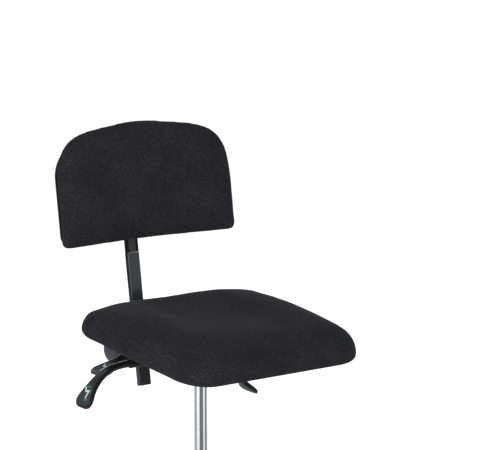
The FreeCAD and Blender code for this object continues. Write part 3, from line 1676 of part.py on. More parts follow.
faults = [item.Label for item in doc.Objects if "Invalid" in item.State or "Error" in item.State]
faults += [item.Label for item in pieces if item.Shape.isNull() or not item.Shape.isValid()]
if faults:
    raise RuntimeError("not built: " + ", ".join(faults))

os.makedirs("parts", exist_ok=True)
for item in pieces:
    item.Shape.exportStep(f"parts/{item.Label}.step")
print(len(pieces), "pieces")
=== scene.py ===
import json
import math

import bmesh
import bpy
from mathutils import Matrix, Vector
from mathutils.bvhtree import BVHTree


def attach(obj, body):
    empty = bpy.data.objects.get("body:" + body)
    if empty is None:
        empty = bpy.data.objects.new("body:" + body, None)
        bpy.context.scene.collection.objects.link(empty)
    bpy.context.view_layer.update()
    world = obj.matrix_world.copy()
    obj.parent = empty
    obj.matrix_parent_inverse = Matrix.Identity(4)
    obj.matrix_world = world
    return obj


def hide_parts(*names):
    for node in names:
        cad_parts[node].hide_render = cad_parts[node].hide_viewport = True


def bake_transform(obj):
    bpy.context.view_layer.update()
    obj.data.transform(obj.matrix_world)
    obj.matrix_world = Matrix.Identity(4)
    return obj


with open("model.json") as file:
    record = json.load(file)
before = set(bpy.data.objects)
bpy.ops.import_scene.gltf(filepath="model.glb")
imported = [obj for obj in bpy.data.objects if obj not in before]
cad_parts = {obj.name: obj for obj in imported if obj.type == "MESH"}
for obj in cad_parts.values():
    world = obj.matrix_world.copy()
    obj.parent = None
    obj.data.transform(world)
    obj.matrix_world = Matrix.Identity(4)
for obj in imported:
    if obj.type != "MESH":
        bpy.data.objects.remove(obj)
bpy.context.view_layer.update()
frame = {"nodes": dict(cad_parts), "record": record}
scene = bpy.context.scene
scene.view_settings.view_transform = "Standard"

MM = 0.001


# Shader nodes. Their owner is a material or the world.

def add_node(owner, kind, **settings):
    node = owner.node_tree.nodes.new(kind)
    for name, value in settings.items():
        setattr(node, name, value)
    return node


def link(owner, source, target):
    owner.node_tree.links.new(source, target)


def shader_of(material):
    return material.node_tree.nodes["Principled BSDF"]


def new_material(name, colour, roughness, **sockets):
    """A surface with constant values on its shader; detail is added by the functions below."""
    material = bpy.data.materials.new(name)
    material.use_nodes = True
    inputs = shader_of(material).inputs
    inputs["Base Color"].default_value = (*colour, 1)
    inputs["Roughness"].default_value = roughness
    for socket, value in sockets.items():
        inputs[socket.replace("_", " ")].default_value = value
    return material


def object_space(material, stretch=(1, 1, 1)):
    """The frame's coordinates in metres, stretched where the detail runs one way."""
    place = add_node(material, "ShaderNodeTexCoord")
    mapping = add_node(material, "ShaderNodeMapping")
    mapping.inputs["Scale"].default_value = stretch
    link(material, place.outputs["Object"], mapping.inputs["Vector"])
    return mapping.outputs["Vector"]


def noise(material, vector, scale, detail=4.0, roughness=0.55):
    node = add_node(material, "ShaderNodeTexNoise")
    node.inputs["Scale"].default_value = scale
    node.inputs["Detail"].default_value = detail
    node.inputs["Roughness"].default_value = roughness
    link(material, vector, node.inputs["Vector"])
    return node.outputs["Fac"]


def math_node(owner, operation, first, second):
    node = add_node(owner, "ShaderNodeMath", operation=operation)
    for socket, value in zip(node.inputs, (first, second)):
        if isinstance(value, (int, float)):
            socket.default_value = value
        else:
            link(owner, value, socket)
    return node.outputs["Value"]


def weighted(material, *parts):
    """Sum of parts; a part is (factor, share)."""
    total = None
    for factor, share in reversed(parts):
        term = math_node(material, "MULTIPLY", factor, share)
        total = term if total is None else math_node(material, "ADD", term, total)
    return total


def spread(material, factor, low, high, start=0.0, finish=1.0):
    """A factor between start and finish, carried over to low and high."""
    node = add_node(material, "ShaderNodeMapRange")
    node.inputs["From Min"].default_value = start
    node.inputs["From Max"].default_value = finish
    node.inputs["To Min"].default_value = low
    node.inputs["To Max"].default_value = high
    link(material, factor, node.inputs["Value"])
    return node.outputs["Result"]


def seen_directly(owner):
    """1 for the rays that show the white studio, to the eye or in a mirror, and 0 for those that light."""
    path = add_node(owner, "ShaderNodeLightPath")
    mirrored = math_node(owner, "MAXIMUM",
                         path.outputs["Is Glossy Ray"], path.outputs["Is Transmission Ray"])
    return math_node(owner, "MAXIMUM", path.outputs["Is Camera Ray"], mirrored)


def shaded(colour, share):
    return tuple(share * channel for channel in colour)


def set_tone(material, factor, *stops):
    """Base colour along a factor; a stop is (position, (r, g, b))."""
    node = add_node(material, "ShaderNodeValToRGB")
    elements = node.color_ramp.elements
    while len(elements) < len(stops):
        elements.new(0.5)
    for element, (position, colour) in zip(elements, stops):
        element.position = position
        element.color = (*colour, 1)
    link(material, factor, node.inputs["Fac"])
    link(material, node.outputs["Color"], shader_of(material).inputs["Base Color"])


def set_gloss(material, factor, low, high):
    """Roughness along a factor."""
    link(material, spread(material, factor, low, high), shader_of(material).inputs["Roughness"])


def set_bump(material, height, distance, strength):
    node = add_node(material, "ShaderNodeBump")
    node.inputs["Distance"].default_value = distance
    node.inputs["Strength"].default_value = strength
    link(material, height, node.inputs["Height"])
    link(material, node.outputs["Normal"], shader_of(material).inputs["Normal"])


# Materials

def woven_fabric(name, dark, light):
    """Plain weave of black yarn: short slubs along and across, paler fibres, a faint cloudiness."""
    material = new_material(name, dark, 0.95,
                            Sheen_Weight=0.02, Sheen_Roughness=0.4, Specular_IOR_Level=0.08)
    along = noise(material, object_space(material, (0.4, 0.5, 1.0)), scale=600.0, detail=2.0, roughness=0.6)
    across = noise(material, object_space(material, (1.0, 0.5, 0.6)), scale=600.0, detail=2.0, roughness=0.6)
    yarn = math_node(material, "MAXIMUM", along, across)
    slub = noise(material, object_space(material, (0.6, 0.35, 1.0)), scale=330.0, detail=3.0, roughness=0.7)
    cloud = noise(material, object_space(material), scale=14.0, detail=3.0)
    set_tone(material, weighted(material, (yarn, 0.5), (slub, 0.35), (cloud, 0.15)),
             (0.44, dark), (0.55, light), (0.66, shaded(light, 1.9)))
    set_bump(material, math_node(material, "ADD", yarn, slub), distance=0.0007, strength=0.6)
    return material


def powder_coat(name, colour, roughness):
    """Satin paint: orange-peel bump and a slightly uneven tone and gloss."""
    material = new_material(name, colour, roughness,
                            Coat_Weight=0.5, Coat_Roughness=0.12, Specular_IOR_Level=0.3)
    space = object_space(material)
    patch = noise(material, space, scale=30.0, detail=5.0)
    grain = noise(material, space, scale=900.0, detail=2.0)
    peel = noise(material, space, scale=260.0, detail=3.0)
    set_tone(material, patch, (0.3, shaded(colour, 0.9)), (0.7, shaded(colour, 1.12)))
    set_gloss(material, patch, roughness - 0.06, roughness + 0.08)
    set_bump(material, math_node(material, "ADD", grain, peel), distance=0.0003, strength=0.5)
    return material


def zinc_plate(name, colour):
    """Bright zinc: fine brushed streaks and a cloudy tone."""
    material = new_material(name, colour, 0.34, Metallic=1.0)
    streak = noise(material, object_space(material, (1.0, 14.0, 1.0)), scale=160.0, detail=3.0)
    cloud = noise(material, object_space(material), scale=70.0)
    set_tone(material, cloud, (0.35, shaded(colour, 0.8)), (0.7, shaded(colour, 1.15)))
    set_gloss(material, streak, 0.22, 0.46)
    set_bump(material, streak, distance=0.0001, strength=0.4)
    return material


def polished_metal(name, colour, low, high, stretch):
    """Chrome or polished alloy: clear gloss with faint drawn lines along it."""
    material = new_material(name, colour, low, Metallic=1.0)
    lines = noise(material, object_space(material, stretch), scale=240.0, detail=2.0)
    cloud = noise(material, object_space(material), scale=25.0, detail=3.0)
    set_tone(material, cloud, (0.3, shaded(colour, 0.94)), (0.7, colour))
    set_gloss(material, lines, low, high)
    return material


def moulded_plastic(name, colour, roughness, grain_scale, gloss):
    """Injection-moulded plastic with spark-eroded grain and slight flow marks."""
    material = new_material(name, colour, roughness, Specular_IOR_Level=gloss)
    space = object_space(material)
    flow = noise(material, space, scale=22.0, detail=3.0)
    grain = noise(material, space, scale=grain_scale, detail=3.0, roughness=0.65)
    set_tone(material, flow, (0.3, shaded(colour, 0.82)), (0.7, shaded(colour, 1.2)))
    set_gloss(material, grain, roughness - 0.08, roughness + 0.1)
    set_bump(material, grain, distance=0.0004, strength=0.45)
    return material


def beech_ply(name, deep, pale):
    """Sanded beech: long pale grain with short darker flecks."""
    material = new_material(name, pale, 0.6)
    grain = noise(material, object_space(material, (3.0, 0.22, 3.0)), scale=46.0, detail=6.0, roughness=0.6)
    fleck = noise(material, object_space(material, (10.0, 1.6, 10.0)), scale=60.0, detail=2.0)
    set_tone(material, weighted(material, (grain, 0.75), (fleck, 0.25)), (0.35, deep), (0.62, pale))
    set_bump(material, grain, distance=0.0003, strength=0.4)
    return material


def printed_ink(name, colour):
    """Pad-printed ink: slightly broken coverage."""
    material = new_material(name, colour, 0.55)
    patch = noise(material, object_space(material), scale=600.0, detail=3.0)
    set_tone(material, patch, (0.2, shaded(colour, 0.78)), (0.55, colour))
    return material


looks = {
    "black_fabric": woven_fabric("BlackWeave",
                                 dark=(0.0108, 0.0109, 0.0128), light=(0.0228, 0.0229, 0.0270)),
    "black_steel": powder_coat("BlackPowderCoat", (0.0125, 0.0140, 0.0172), roughness=0.32),
    "zinc_steel": zinc_plate("ZincPlate", (0.62, 0.63, 0.64)),
    "chrome_tube": polished_metal("Chrome", (0.66, 0.67, 0.70),
                                  low=0.06, high=0.12, stretch=(14.0, 14.0, 0.4)),
    "lever_plastic": moulded_plastic("LeverPlastic", (0.0075, 0.0082, 0.0095),
                                     roughness=0.26, grain_scale=1400.0, gloss=0.22),
    "knob_plastic": moulded_plastic("KnobPlastic", (0.036, 0.041, 0.049),
                                    roughness=0.5, grain_scale=1100.0, gloss=0.4),
    "moulded_plastic": moulded_plastic("MouldedPlastic", (0.012, 0.012, 0.0135),
                                       roughness=0.48, grain_scale=1200.0, gloss=0.35),
    "alloy": polished_metal("PolishedAlloy", (0.56, 0.57, 0.585),
                            low=0.18, high=0.34, stretch=(6.0, 6.0, 1.0)),
    "plywood": beech_ply("BeechPly", deep=(0.42, 0.27, 0.14), pale=(0.62, 0.43, 0.25)),
}
inlay_grey = moulded_plastic("PaddleInlay", (0.036, 0.044, 0.055),
                             roughness=0.6, grain_scale=1500.0, gloss=0.15)
ink_white = printed_ink("InkWhite", (0.78, 0.80, 0.80))
ink_green = printed_ink("InkGreen", (0.03, 0.27, 0.10))

# Nodes that differ a little from the look of their slot; the bracket cover and the bracket carry painted
# shade of the recess at the top of the post
own_looks = {
    "back_post": powder_coat("GlossyPost", (0.0135, 0.0157, 0.0195), roughness=0.24),
    # Painted shade: the channel and the bracket bar in it are darker than the other black parts, standing in
    # for the shade inside the post's recess
    "bracket_cover": moulded_plastic("DarkChannelPaintedShade", (0.006, 0.006, 0.007),
                                     roughness=0.6, grain_scale=1200.0, gloss=0.1),
    "back_bracket": powder_coat("DarkBracketPaintedShade", (0.006, 0.0063, 0.007), roughness=0.5),
}

for entry in frame["record"]["subparts"]:
    node_mesh = frame["nodes"][entry["node"]].data
    node_mesh.materials.clear()
    node_mesh.materials.append(own_looks.get(entry["node"], looks[entry["material_slot"]]))


# Pieces

def loose_piece(name, mesh, material):
    piece = bpy.data.objects.new(name, mesh)
    scene.collection.objects.link(piece)
    mesh.materials.clear()
    mesh.materials.append(material)
    return piece


def new_piece(name, mesh, material, body):
    piece = loose_piece(name, mesh, material)
    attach(piece, body)
    return piece


def join_rings(build, rings):
    """Skin between rings of equally many points."""
    for first, second in zip(rings, rings[1:]):
        for index in range(len(first)):
            after = (index + 1) % len(first)
            build.faces.new((first[index], first[after], second[after], second[index]))


def finished_mesh(name, build, smooth=False):
    """What was built, as a mesh with its faces turned outward."""
    bmesh.ops.recalc_face_normals(build, faces=build.faces)
    mesh = bpy.data.meshes.new(name)
    build.to_mesh(mesh)
    build.free()
    for polygon in mesh.polygons:
        polygon.use_smooth = smooth
    return mesh


def evaluated_mesh(piece):
    bpy.context.view_layer.update()
    return bpy.data.meshes.new_from_object(piece.evaluated_get(bpy.context.evaluated_depsgraph_get()))


def apply_modifiers(piece):
    mesh = evaluated_mesh(piece)
    piece.modifiers.clear()
    piece.data = mesh


# Cushions

VOXEL = 0.005
CLOTH_STEPS = 20
CLOTH = {
    "quality": 5, "mass": 0.3, "time_scale": 0.6,
    "tension_stiffness": 20, "compression_stiffness": 20, "shear_stiffness": 8, "bending_stiffness": 1.0,
    "use_pressure": True, "uniform_pressure_force": 4, "vertex_group_mass": "held",
}
OUT_CAP, SIDE_CAP = 0.004, 0.0005


def eased(length, cap):
    """A length that nears its cap softly, so that no crease marks where the cap begins."""
    return cap * (1 - math.exp(-length / cap))


def inflate(piece, held):
    """Blows the cover up from inside. Held vertices stay, the others move out by the cap at most,
    and in or sideways by much less, as a cover sewn round its edge does."""
    start = [vertex.co.copy() for vertex in piece.data.vertices]
    normals = [vertex.normal.copy() for vertex in piece.data.vertices]
    piece.vertex_groups.new(name="held").add(held, 1.0, "REPLACE")
    cloth = piece.modifiers.new("Cover", "CLOTH")
    for name, value in CLOTH.items():
        setattr(cloth.settings, name, value)
    cloth.settings.effector_weights.gravity = 0
    cloth.collision_settings.use_collision = False
    cloth.point_cache.frame_start = 1
    cloth.point_cache.frame_end = CLOTH_STEPS
    for step in range(1, CLOTH_STEPS + 1):
        scene.frame_set(step)
        bpy.context.view_layer.update()
    moved = [vertex.co.copy() for vertex in evaluated_mesh(piece).vertices]
    piece.modifiers.clear()
    piece.vertex_groups.clear()
    for vertex, first, last, normal in zip(piece.data.vertices, start, moved, normals):
        shift = last - first
        outward = shift.dot(normal)
        sideways = shift - normal * outward
        if sideways.length > 0:
            sideways *= eased(sideways.length, SIDE_CAP) / sideways.length
        lift = eased(outward, OUT_CAP) if outward > 0 else -eased(-outward, SIDE_CAP)
        vertex.co = first + sideways + normal * lift
    scene.frame_set(1)


def smooth_free(piece, held, rounds):
    """Evens out the cover, apart from where it is held."""
    free = sorted(set(range(len(piece.data.vertices))) - set(held))
    piece.vertex_groups.new(name="free").add(free, 1.0, "REPLACE")
    even = piece.modifiers.new("Even", "SMOOTH")
    even.factor = 0.5
    even.iterations = rounds
    even.vertex_group = "free"
    apply_modifiers(piece)
    piece.vertex_groups.clear()


def make_cushion(name, node, body, is_held, fuller):
    """Cover over a foam block: the solid's form, filled out a little and then blown up."""
    mesh = frame["nodes"][node].data.copy()
    piece = new_piece(name, mesh, looks["black_fabric"], body)
    remesh = piece.modifiers.new("Voxels", "REMESH")
    remesh.mode = "VOXEL"
    remesh.voxel_size = VOXEL
    apply_modifiers(piece)
    smooth_free(piece, [], rounds=5)
    held = []
    for vertex in piece.data.vertices:
        if is_held(vertex.co):
            held.append(vertex.index)
        else:
            vertex.co += fuller(vertex.co)
    inflate(piece, held)
    smooth_free(piece, held, rounds=4)
    finer = piece.modifiers.new("Finer", "SUBSURF")
    finer.levels = 1
    finer.render_levels = 1
    apply_modifiers(piece)
    for polygon in piece.data.polygons:
        polygon.use_smooth = True
    piece.data.materials.clear()
    piece.data.materials.append(looks["black_fabric"])
    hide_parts(node)


# Where the seat and the backrest are, and how they lean, as in the CAD model
SEAT_PIVOT = Vector((0, -0.035, 0.476))
SEAT_LEAN = math.radians(3.5)
SEAT_UP = Vector((0, -math.sin(SEAT_LEAN), math.cos(SEAT_LEAN)))
POST_FOOT = Vector((0, 0.238, 0.463))
POST_LEAN = math.radians(9)
BACK_UP = Vector((0, math.sin(POST_LEAN), math.cos(POST_LEAN)))
BACK_REAR = Vector((0, math.cos(POST_LEAN), -math.sin(POST_LEAN)))

# The covers are held at the boards: the seat's by its height over the pivot, the backrest's by its
# depth behind the post's line, which the board's bow changes towards the sides
BOARD_TOP = 0.0475
PAD_REAR, BOARD_BOW = -0.0585, 0.45
BACK_LOW = 0.229

# How the foam stands fuller than the CAD pads: a size, then the zone where it sets in
TOP_ZONE = (0.05, 0.09)
SIDE_RISE, SIDE_ZONE, SIDE_HILL = 0.008, (0.05, 0.17), (-0.07, 0.21)
REAR_RISE, REAR_MIDDLE = 0.003, (0.06, 0.15)
REAR_DROP, REAR_SIDES = 0.002, (0.12, 0.18)
REAR_ZONE = (0.07, 0.15)
SEAT_BULGE, SEAT_BULGE_ZONE, SEAT_BULGE_HILL = 0.004, (0.1, 0.2), (0.05, 0.2)
BACK_CORNER, BACK_CORNER_ZONE, BACK_CORNER_HEIGHT = 0.004, (0.17, 0.205), (0.005, 0.04)
BACK_BULGE, BACK_BULGE_ZONE, BACK_BULGE_HILL = 0.003, (0.12, 0.2), (0.07, 0.2)
BACK_RISE, BACK_RISE_ZONE = 0.002, (0.12, 0.2)
BACK_HANG, BACK_HANG_ZONE, BACK_HANG_HEIGHT = 0.0035, (0.02, 0.2), (0.005, 0.05)


def climb(value, low, high):
    """Smooth step from 0 to 1."""
    share = min(1, max(0, (value - low) / (high - low)))
    return share * share * (3 - 2 * share)


def fall(value, low, high):
    """Smooth step from 1 to 0."""
    return 1 - climb(value, low, high)


def hill(value, centre, half):
    """Smooth rise to 1 at the centre, 0 from half away on."""
    return (1 - min(1, abs(value - centre) / half) ** 2) ** 2


def seat_height(point):
    """Height over the seat pivot, square to the leaning seat."""
    return (point - SEAT_PIVOT).dot(SEAT_UP)


def on_seat_board(point):
    return seat_height(point) < BOARD_TOP


def fuller_seat(point):
    """The foam stands up along both sides and in the middle of the rear, and bulges out at its sides."""
    beside = abs(point.x)
    above = climb(seat_height(point), *TOP_ZONE)
    lift = SIDE_RISE * climb(beside, *SIDE_ZONE) * hill(point.y, *SIDE_HILL) * above
    arch = REAR_RISE * fall(beside, *REAR_MIDDLE) - REAR_DROP * climb(beside, *REAR_SIDES)
    lift += arch * climb(point.y, *REAR_ZONE) * above
    bulge = SEAT_BULGE * climb(beside, *SEAT_BULGE_ZONE) * hill(point.y, *SEAT_BULGE_HILL)
    return SEAT_UP * lift + Vector((math.copysign(bulge, point.x), 0, 0))


def on_back_board(point):
    depth = (point - POST_FOOT).dot(BACK_REAR)
    return depth + BOARD_BOW * point.x * point.x > PAD_REAR


def fuller_back(point):
    """The lower edge hangs a little towards its sharper corners, and the sides and top swell."""
    beside = abs(point.x)
    height = (point - POST_FOOT).dot(BACK_UP) - BACK_LOW
    corner = BACK_CORNER * climb(beside, *BACK_CORNER_ZONE) * fall(height, *BACK_CORNER_HEIGHT)
    bulge = BACK_BULGE * climb(beside, *BACK_BULGE_ZONE) * hill(height, *BACK_BULGE_HILL)
    rise = BACK_RISE * climb(height, *BACK_RISE_ZONE)
    hang = BACK_HANG * climb(beside, *BACK_HANG_ZONE) * fall(height, *BACK_HANG_HEIGHT)
    return Vector((math.copysign(corner + bulge, point.x), 0, 0)) + BACK_UP * (rise - hang)


make_cushion("seat_cushion", "seat_pad", "seat", on_seat_board, fuller_seat)
make_cushion("back_cushion", "back_pad", "backrest", on_back_board, fuller_back)


# Inlays and pictograms on the three paddles, in millimetres along and across. A stroke is its points and
# the half width at each; an inlay gives (along, half width).

CHAIR_SIGN = [([(-12.5, -9.5), (-4, -4), (-6.5, 6), (10, 5)], [1.9] * 4)]
ARROW_SIGN = [
    ([(-2, 12.5), (-6, 11), (-6.01, 11), (-11, 9)], [1.2, 1.2, 2.8, 0.15]),
    ([(13.5, 3), (12, 10), (12, 10.01), (11, 15)], [1.2, 1.2, 2.8, 0.15]),
    ([(-15, 4), (-15, -1), (-15, -1.01), (-15, -5.5)], [1.2, 1.2, 2.5, 0.15]),
]
LONG_INLAY = [(-23, 5), (-21.5, 8.5), (-18, 11.5), (-3, 17.5),
              (10.8, 22.3), (19, 21.8), (23.5, 16.5), (25.5, 9)]
SHORT_INLAY = [(-22, 5), (-20.5, 9.5), (-17.5, 14), (-6, 20.8),
               (5, 23.3), (11.8, 21.8), (15.8, 16.5), (17.6, 9)]
INLAY_RAISED, INLAY_RUNS = 0.0002, 10
SIGN_RAISED, SIGN_RUNS = 0.0004, 2
PRINT_SUNK = 0.0003
PRINT_STEP = 0.0012
RAY_START = 0.02
LEAST_MITRE = 0.5


def offset_sides(points, halves):
    """Left and right edge of a stroke with mitred corners; a point is (along, across)."""
    left, right = [], []
    for index, (point, half) in enumerate(zip(points, halves)):
        ahead = points[min(index + 1, len(points) - 1)] - point
        behind = point - points[max(index - 1, 0)]
        run_in = (behind if behind.length > 0 else ahead).normalized()
        run_out = (ahead if ahead.length > 0 else behind).normalized()
        mean = (run_in + run_out).normalized()
        side = Vector((-mean.y, mean.x)) * (half / max(LEAST_MITRE, mean.dot(run_out)))
        left.append(point + side)
        right.append(point - side)
    return left, right


def finer_stroke(points, halves):
    """The same stroke cut into short runs, so that it follows the paddle's curve."""
    fine_points, fine_halves = [], []
    for start, finish, half_start, half_finish in zip(points, points[1:], halves, halves[1:]):
        count = max(1, round((finish - start).length / PRINT_STEP))
        for index in range(count):
            share = index / count
            fine_points.append(start.lerp(finish, share))
            fine_halves.append(half_start + share * (half_finish - half_start))
    return fine_points + [points[-1]], fine_halves + [halves[-1]]


def print_stroke(build, surface, origin, run, up, stroke, raised, runs):
    """One closed strip laid on the paddle's face that looks up, in as many runs across as asked."""
    points, halves = stroke
    fine = finer_stroke([Vector(point) * MM for point in points], [half * MM for half in halves])
    side = up.cross(run)
    rows = []
    for left, right in zip(*offset_sides(*fine)):
        row = []
        for step in range(runs + 1):
            flat = left.lerp(right, step / runs)
            above = origin + run * flat.x + side * flat.y + up * RAY_START
            place, normal, _, _ = surface.ray_cast(above, -up)
            row.append((build.verts.new(place + normal * raised),
                        build.verts.new(place - normal * PRINT_SUNK)))
        rows.append(row)
    for first, second in zip(rows, rows[1:]):
        for a, b, c, d in zip(first, first[1:], second[1:], second):
            build.faces.new((a[0], b[0], c[0], d[0]))
            build.faces.new((d[1], c[1], b[1], a[1]))
        for edge in (0, -1):
            build.faces.new((first[edge][0], second[edge][0], second[edge][1], first[edge][1]))
    for row in (rows[0], rows[-1]):
        for a, b in zip(row, row[1:]):
            build.faces.new((a[0], b[0], b[1], a[1]))


def print_paddle(name, node, body, centre, run, inlay):
    mesh = frame["nodes"][node].data
    surface = BVHTree.FromPolygons([vertex.co for vertex in mesh.vertices],
                                   [polygon.vertices for polygon in mesh.polygons])
    run = Vector(run).normalized()
    up = Vector((run.z, 0, -run.x))
    if up.z < 0:
        up.negate()
    field = [([(along, 0) for along, _ in inlay], [half for _, half in inlay])]
    layers = (("inlay", field, inlay_grey, up, INLAY_RAISED, INLAY_RUNS),
              ("underpad", field, inlay_grey, -up, INLAY_RAISED, INLAY_RUNS),
              ("chair", CHAIR_SIGN, ink_white, up, SIGN_RAISED, SIGN_RUNS),
              ("arrows", ARROW_SIGN, ink_green, up, SIGN_RAISED, SIGN_RUNS))
    for sign, strokes, look, facing, raised, runs in layers:
        build = bmesh.new()
        for stroke in strokes:
            print_stroke(build, surface, Vector(centre), run, facing, stroke, raised, runs)
        sign_name = f"{name}_{sign}"
        new_piece(sign_name, finished_mesh(sign_name, build), look, body)


print_paddle("height_paddle", "height_lever_grip", "height_lever",
             centre=(-0.269, 0.008, 0.4355), run=(-0.563, 0, -0.826), inlay=LONG_INLAY)
print_paddle("back_paddle", "back_lever_grip", "back_lever",
             centre=(-0.195, 0.0685, 0.4637), run=(-0.956, 0, -0.293), inlay=SHORT_INLAY)
print_paddle("seat_paddle", "seat_lever_grip", "seat_lever",
             centre=(0.1425, 0.035, 0.385), run=(0.71, 0, -0.70), inlay=SHORT_INLAY)


# Cover turned in under the seat board, and its staples, in millimetres on the level seat

BOARD_FRONT, BOARD_REAR, BOARD_HALF, BOARD_ROUND = -264.0, 152.0, 187.0, 80.0
BOARD_LEVEL = 510.0
ROUND_STEPS, STRAIGHT_STEP = 14, 12
TURNED_OVER, TURNED_WIDTH = 3.0, 27
TURNED_PROFILE = ((0.0, -0.6), (0.04, 0.5), (0.35, 1.0), (0.75, 0.9), (1.0, 0.7), (1.0, -0.2))
EDGE_WAVES = ((2.2, 9, 0), (1.4, 23, 1))
PUCKER_SIZE, PUCKER_COUNT = 0.35, 61
STAPLE_INSET, STAPLE_EVERY = 15.0, 3
STAPLE_HALF_WIRE, STAPLE_HALF_CROWN, STAPLE_SUNK = 0.5, 5.0, 2.5
STAPLE_OUTER, STAPLE_INNER = 1.9, 1.2
STAPLE_SKEW, STAPLE_SKEW_STEP = 14, 7.0


def seat_point(x, y, level):
    """A point of the level seat in millimetres, turned with the seat's lean."""
    ahead, over = MM * y - SEAT_PIVOT.y, MM * level - SEAT_PIVOT.z
    return Vector((MM * x,
                   SEAT_PIVOT.y + ahead * math.cos(SEAT_LEAN) - over * math.sin(SEAT_LEAN),
                   SEAT_PIVOT.z + ahead * math.sin(SEAT_LEAN) + over * math.cos(SEAT_LEAN)))


def board_loop(inset):
    """Rounded outline of the board, drawn in by an inset: points and the angles that they face."""
    half, low, high = BOARD_HALF - inset, BOARD_FRONT + inset, BOARD_REAR - inset
    radius = BOARD_ROUND - inset
    corners = [(half - radius, low + radius, -90), (half - radius, high - radius, 0),
               (radius - half, high - radius, 90), (radius - half, low + radius, 180)]

    def on_corner(corner, angle):
        return Vector((corner[0] + radius * math.cos(angle), corner[1] + radius * math.sin(angle)))

    loop = []
    for corner, following in zip(corners, corners[1:] + corners[:1]):
        for step in range(ROUND_STEPS + 1):
            angle = math.radians(corner[2] + 90 * step / ROUND_STEPS)
            loop.append((on_corner(corner, angle), angle))
        angle = math.radians(following[2])
        here, there = loop[-1][0], on_corner(following, angle)
        runs = max(2, round((there - here).length / STRAIGHT_STEP))
        loop += [(here.lerp(there, step / runs), angle) for step in range(1, runs)]
    return loop


def make_underwrap():
    """Cover turned in under the board: a thin sheet with a wavy cut edge."""
    outline = board_loop(-TURNED_OVER)
    build = bmesh.new()
    rings = []
    for share, below in TURNED_PROFILE:
        ring = []
        for index, (place, angle) in enumerate(outline):
            turn = 2 * math.pi * index / len(outline)
            waves = sum(size * math.sin(count * turn + phase) for size, count, phase in EDGE_WAVES)
            pucker = PUCKER_SIZE * math.sin(PUCKER_COUNT * turn) * share
            spot = place - Vector((math.cos(angle), math.sin(angle))) * (TURNED_WIDTH + waves) * share
            ring.append(build.verts.new(seat_point(*spot, BOARD_LEVEL - below - pucker)))
        rings.append(ring)
    join_rings(build, rings)
    mesh = finished_mesh("seat_underwrap", build, smooth=True)
    new_piece("seat_underwrap", mesh, looks["black_fabric"], "seat")


def staple_path(half, off):
    """Leg, crown and leg of a staple: (along, below the board)."""
    return [(-half, -STAPLE_SUNK), (-half, off), (half, off), (half, -STAPLE_SUNK)]


def make_staples():
    """Staples along the turned-in cover, each a bent wire with its legs in the board."""
    outer = staple_path(STAPLE_HALF_CROWN, STAPLE_OUTER)
    inner = staple_path(STAPLE_HALF_CROWN - 2 * STAPLE_HALF_WIRE, STAPLE_INNER)
    build = bmesh.new()
    for index, (place, angle) in enumerate(board_loop(STAPLE_INSET)):
        if index % STAPLE_EVERY:
            continue
        lean = angle + math.radians(90 + STAPLE_SKEW * math.sin(STAPLE_SKEW_STEP * index))
        run = Vector((math.cos(lean), math.sin(lean)))
        side = Vector((-run.y, run.x)) * STAPLE_HALF_WIRE
        rings = []
        for out, within in zip(outer, inner):
            ring = []
            for (along, below), shift in ((out, -1), (out, 1), (within, 1), (within, -1)):
                spot = place + run * along + side * shift
                ring.append(build.verts.new(seat_point(*spot, BOARD_LEVEL - below)))
            rings.append(ring)
        join_rings(build, rings)
        build.faces.new(rings[0])
        build.faces.new(rings[-1])
    mesh = finished_mesh("seat_staples", build)
    new_piece("seat_staples", mesh, looks["zinc_steel"], "seat")


# Cover round the back board, lip of the post, coil under the seat

WRAP_THICK = 0.0014
LIP_HALF, LIP_DEPTH, LIP_HEIGHT, LIP_RADIUS = 0.0115, -0.0066, 0.1972, 0.0011
LIP_SIDES = 10
LIP_RINGS = ((-1.06, 0.35), (-1.0, 1.0), (0.0, 1.0), (1.0, 1.0), (1.06, 0.35))


def make_back_wrap():
    """Cover pulled round the edge of the back board, between the cushion and the shell."""
    mesh = frame["nodes"]["back_board"].data.copy()
    build = bmesh.new()
    build.from_mesh(mesh)
    bmesh.ops.remove_doubles(build, verts=build.verts, dist=1e-6)
    build.normal_update()
    for vertex in build.verts:
        vertex.co += vertex.normal * WRAP_THICK
    build.to_mesh(mesh)
    build.free()
    new_piece("back_wrap", mesh, looks["black_fabric"], "backrest")


def make_post_lip():
    """Bare edge where the front wall of the post ends under the recess: a thin bar with tapered ends."""
    build = bmesh.new()
    rings = []
    for along, share in LIP_RINGS:
        ring = []
        for side in range(LIP_SIDES):
            angle = 2 * math.pi * side / LIP_SIDES
            depth = LIP_DEPTH + share * LIP_RADIUS * math.cos(angle)
            height = LIP_HEIGHT + share * LIP_RADIUS * math.sin(angle)
            place = POST_FOOT + Vector((along * LIP_HALF, 0, 0)) + BACK_REAR * depth + BACK_UP * height
            ring.append(build.verts.new(place))
        rings.append(ring)
    join_rings(build, rings)
    build.faces.new(rings[0])
    build.faces.new(rings[-1])
    mesh = finished_mesh("post_lip", build, smooth=True)
    new_piece("post_lip", mesh, looks["zinc_steel"], "backrest")


def make_coil():
    """The coil stands on the fork and carries the tilting seat; it is kept as a loose piece, fixed to no
    body, with its place baked into its points.
    """
    mesh = frame["nodes"]["seat_spring"].data.copy()
    piece = loose_piece("seat_coil", mesh, looks["zinc_steel"])
    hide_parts("seat_spring")
    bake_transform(piece)


make_post_lip()
make_back_wrap()
make_coil()
make_underwrap()
make_staples()


# Camera

AZIMUTH, ELEVATION = math.radians(-35), math.radians(10.23)
AIM_HEIGHT, AIM_SIDE, AIM_RISE = 0.493, 0.10356, 0.2605
DISTANCE, LENS, SENSOR, CLIP_END = 4.3, 148.0, 36.0, 60.0

toward = Vector((math.sin(AZIMUTH) * math.cos(ELEVATION),
                 -math.cos(AZIMUTH) * math.cos(ELEVATION),
                 math.sin(ELEVATION)))
rightward = Vector((math.cos(AZIMUTH), math.sin(AZIMUTH), 0))
upward = toward.cross(rightward)
aim = Vector((0, 0, AIM_HEIGHT)) + rightward * AIM_SIDE + upward * AIM_RISE

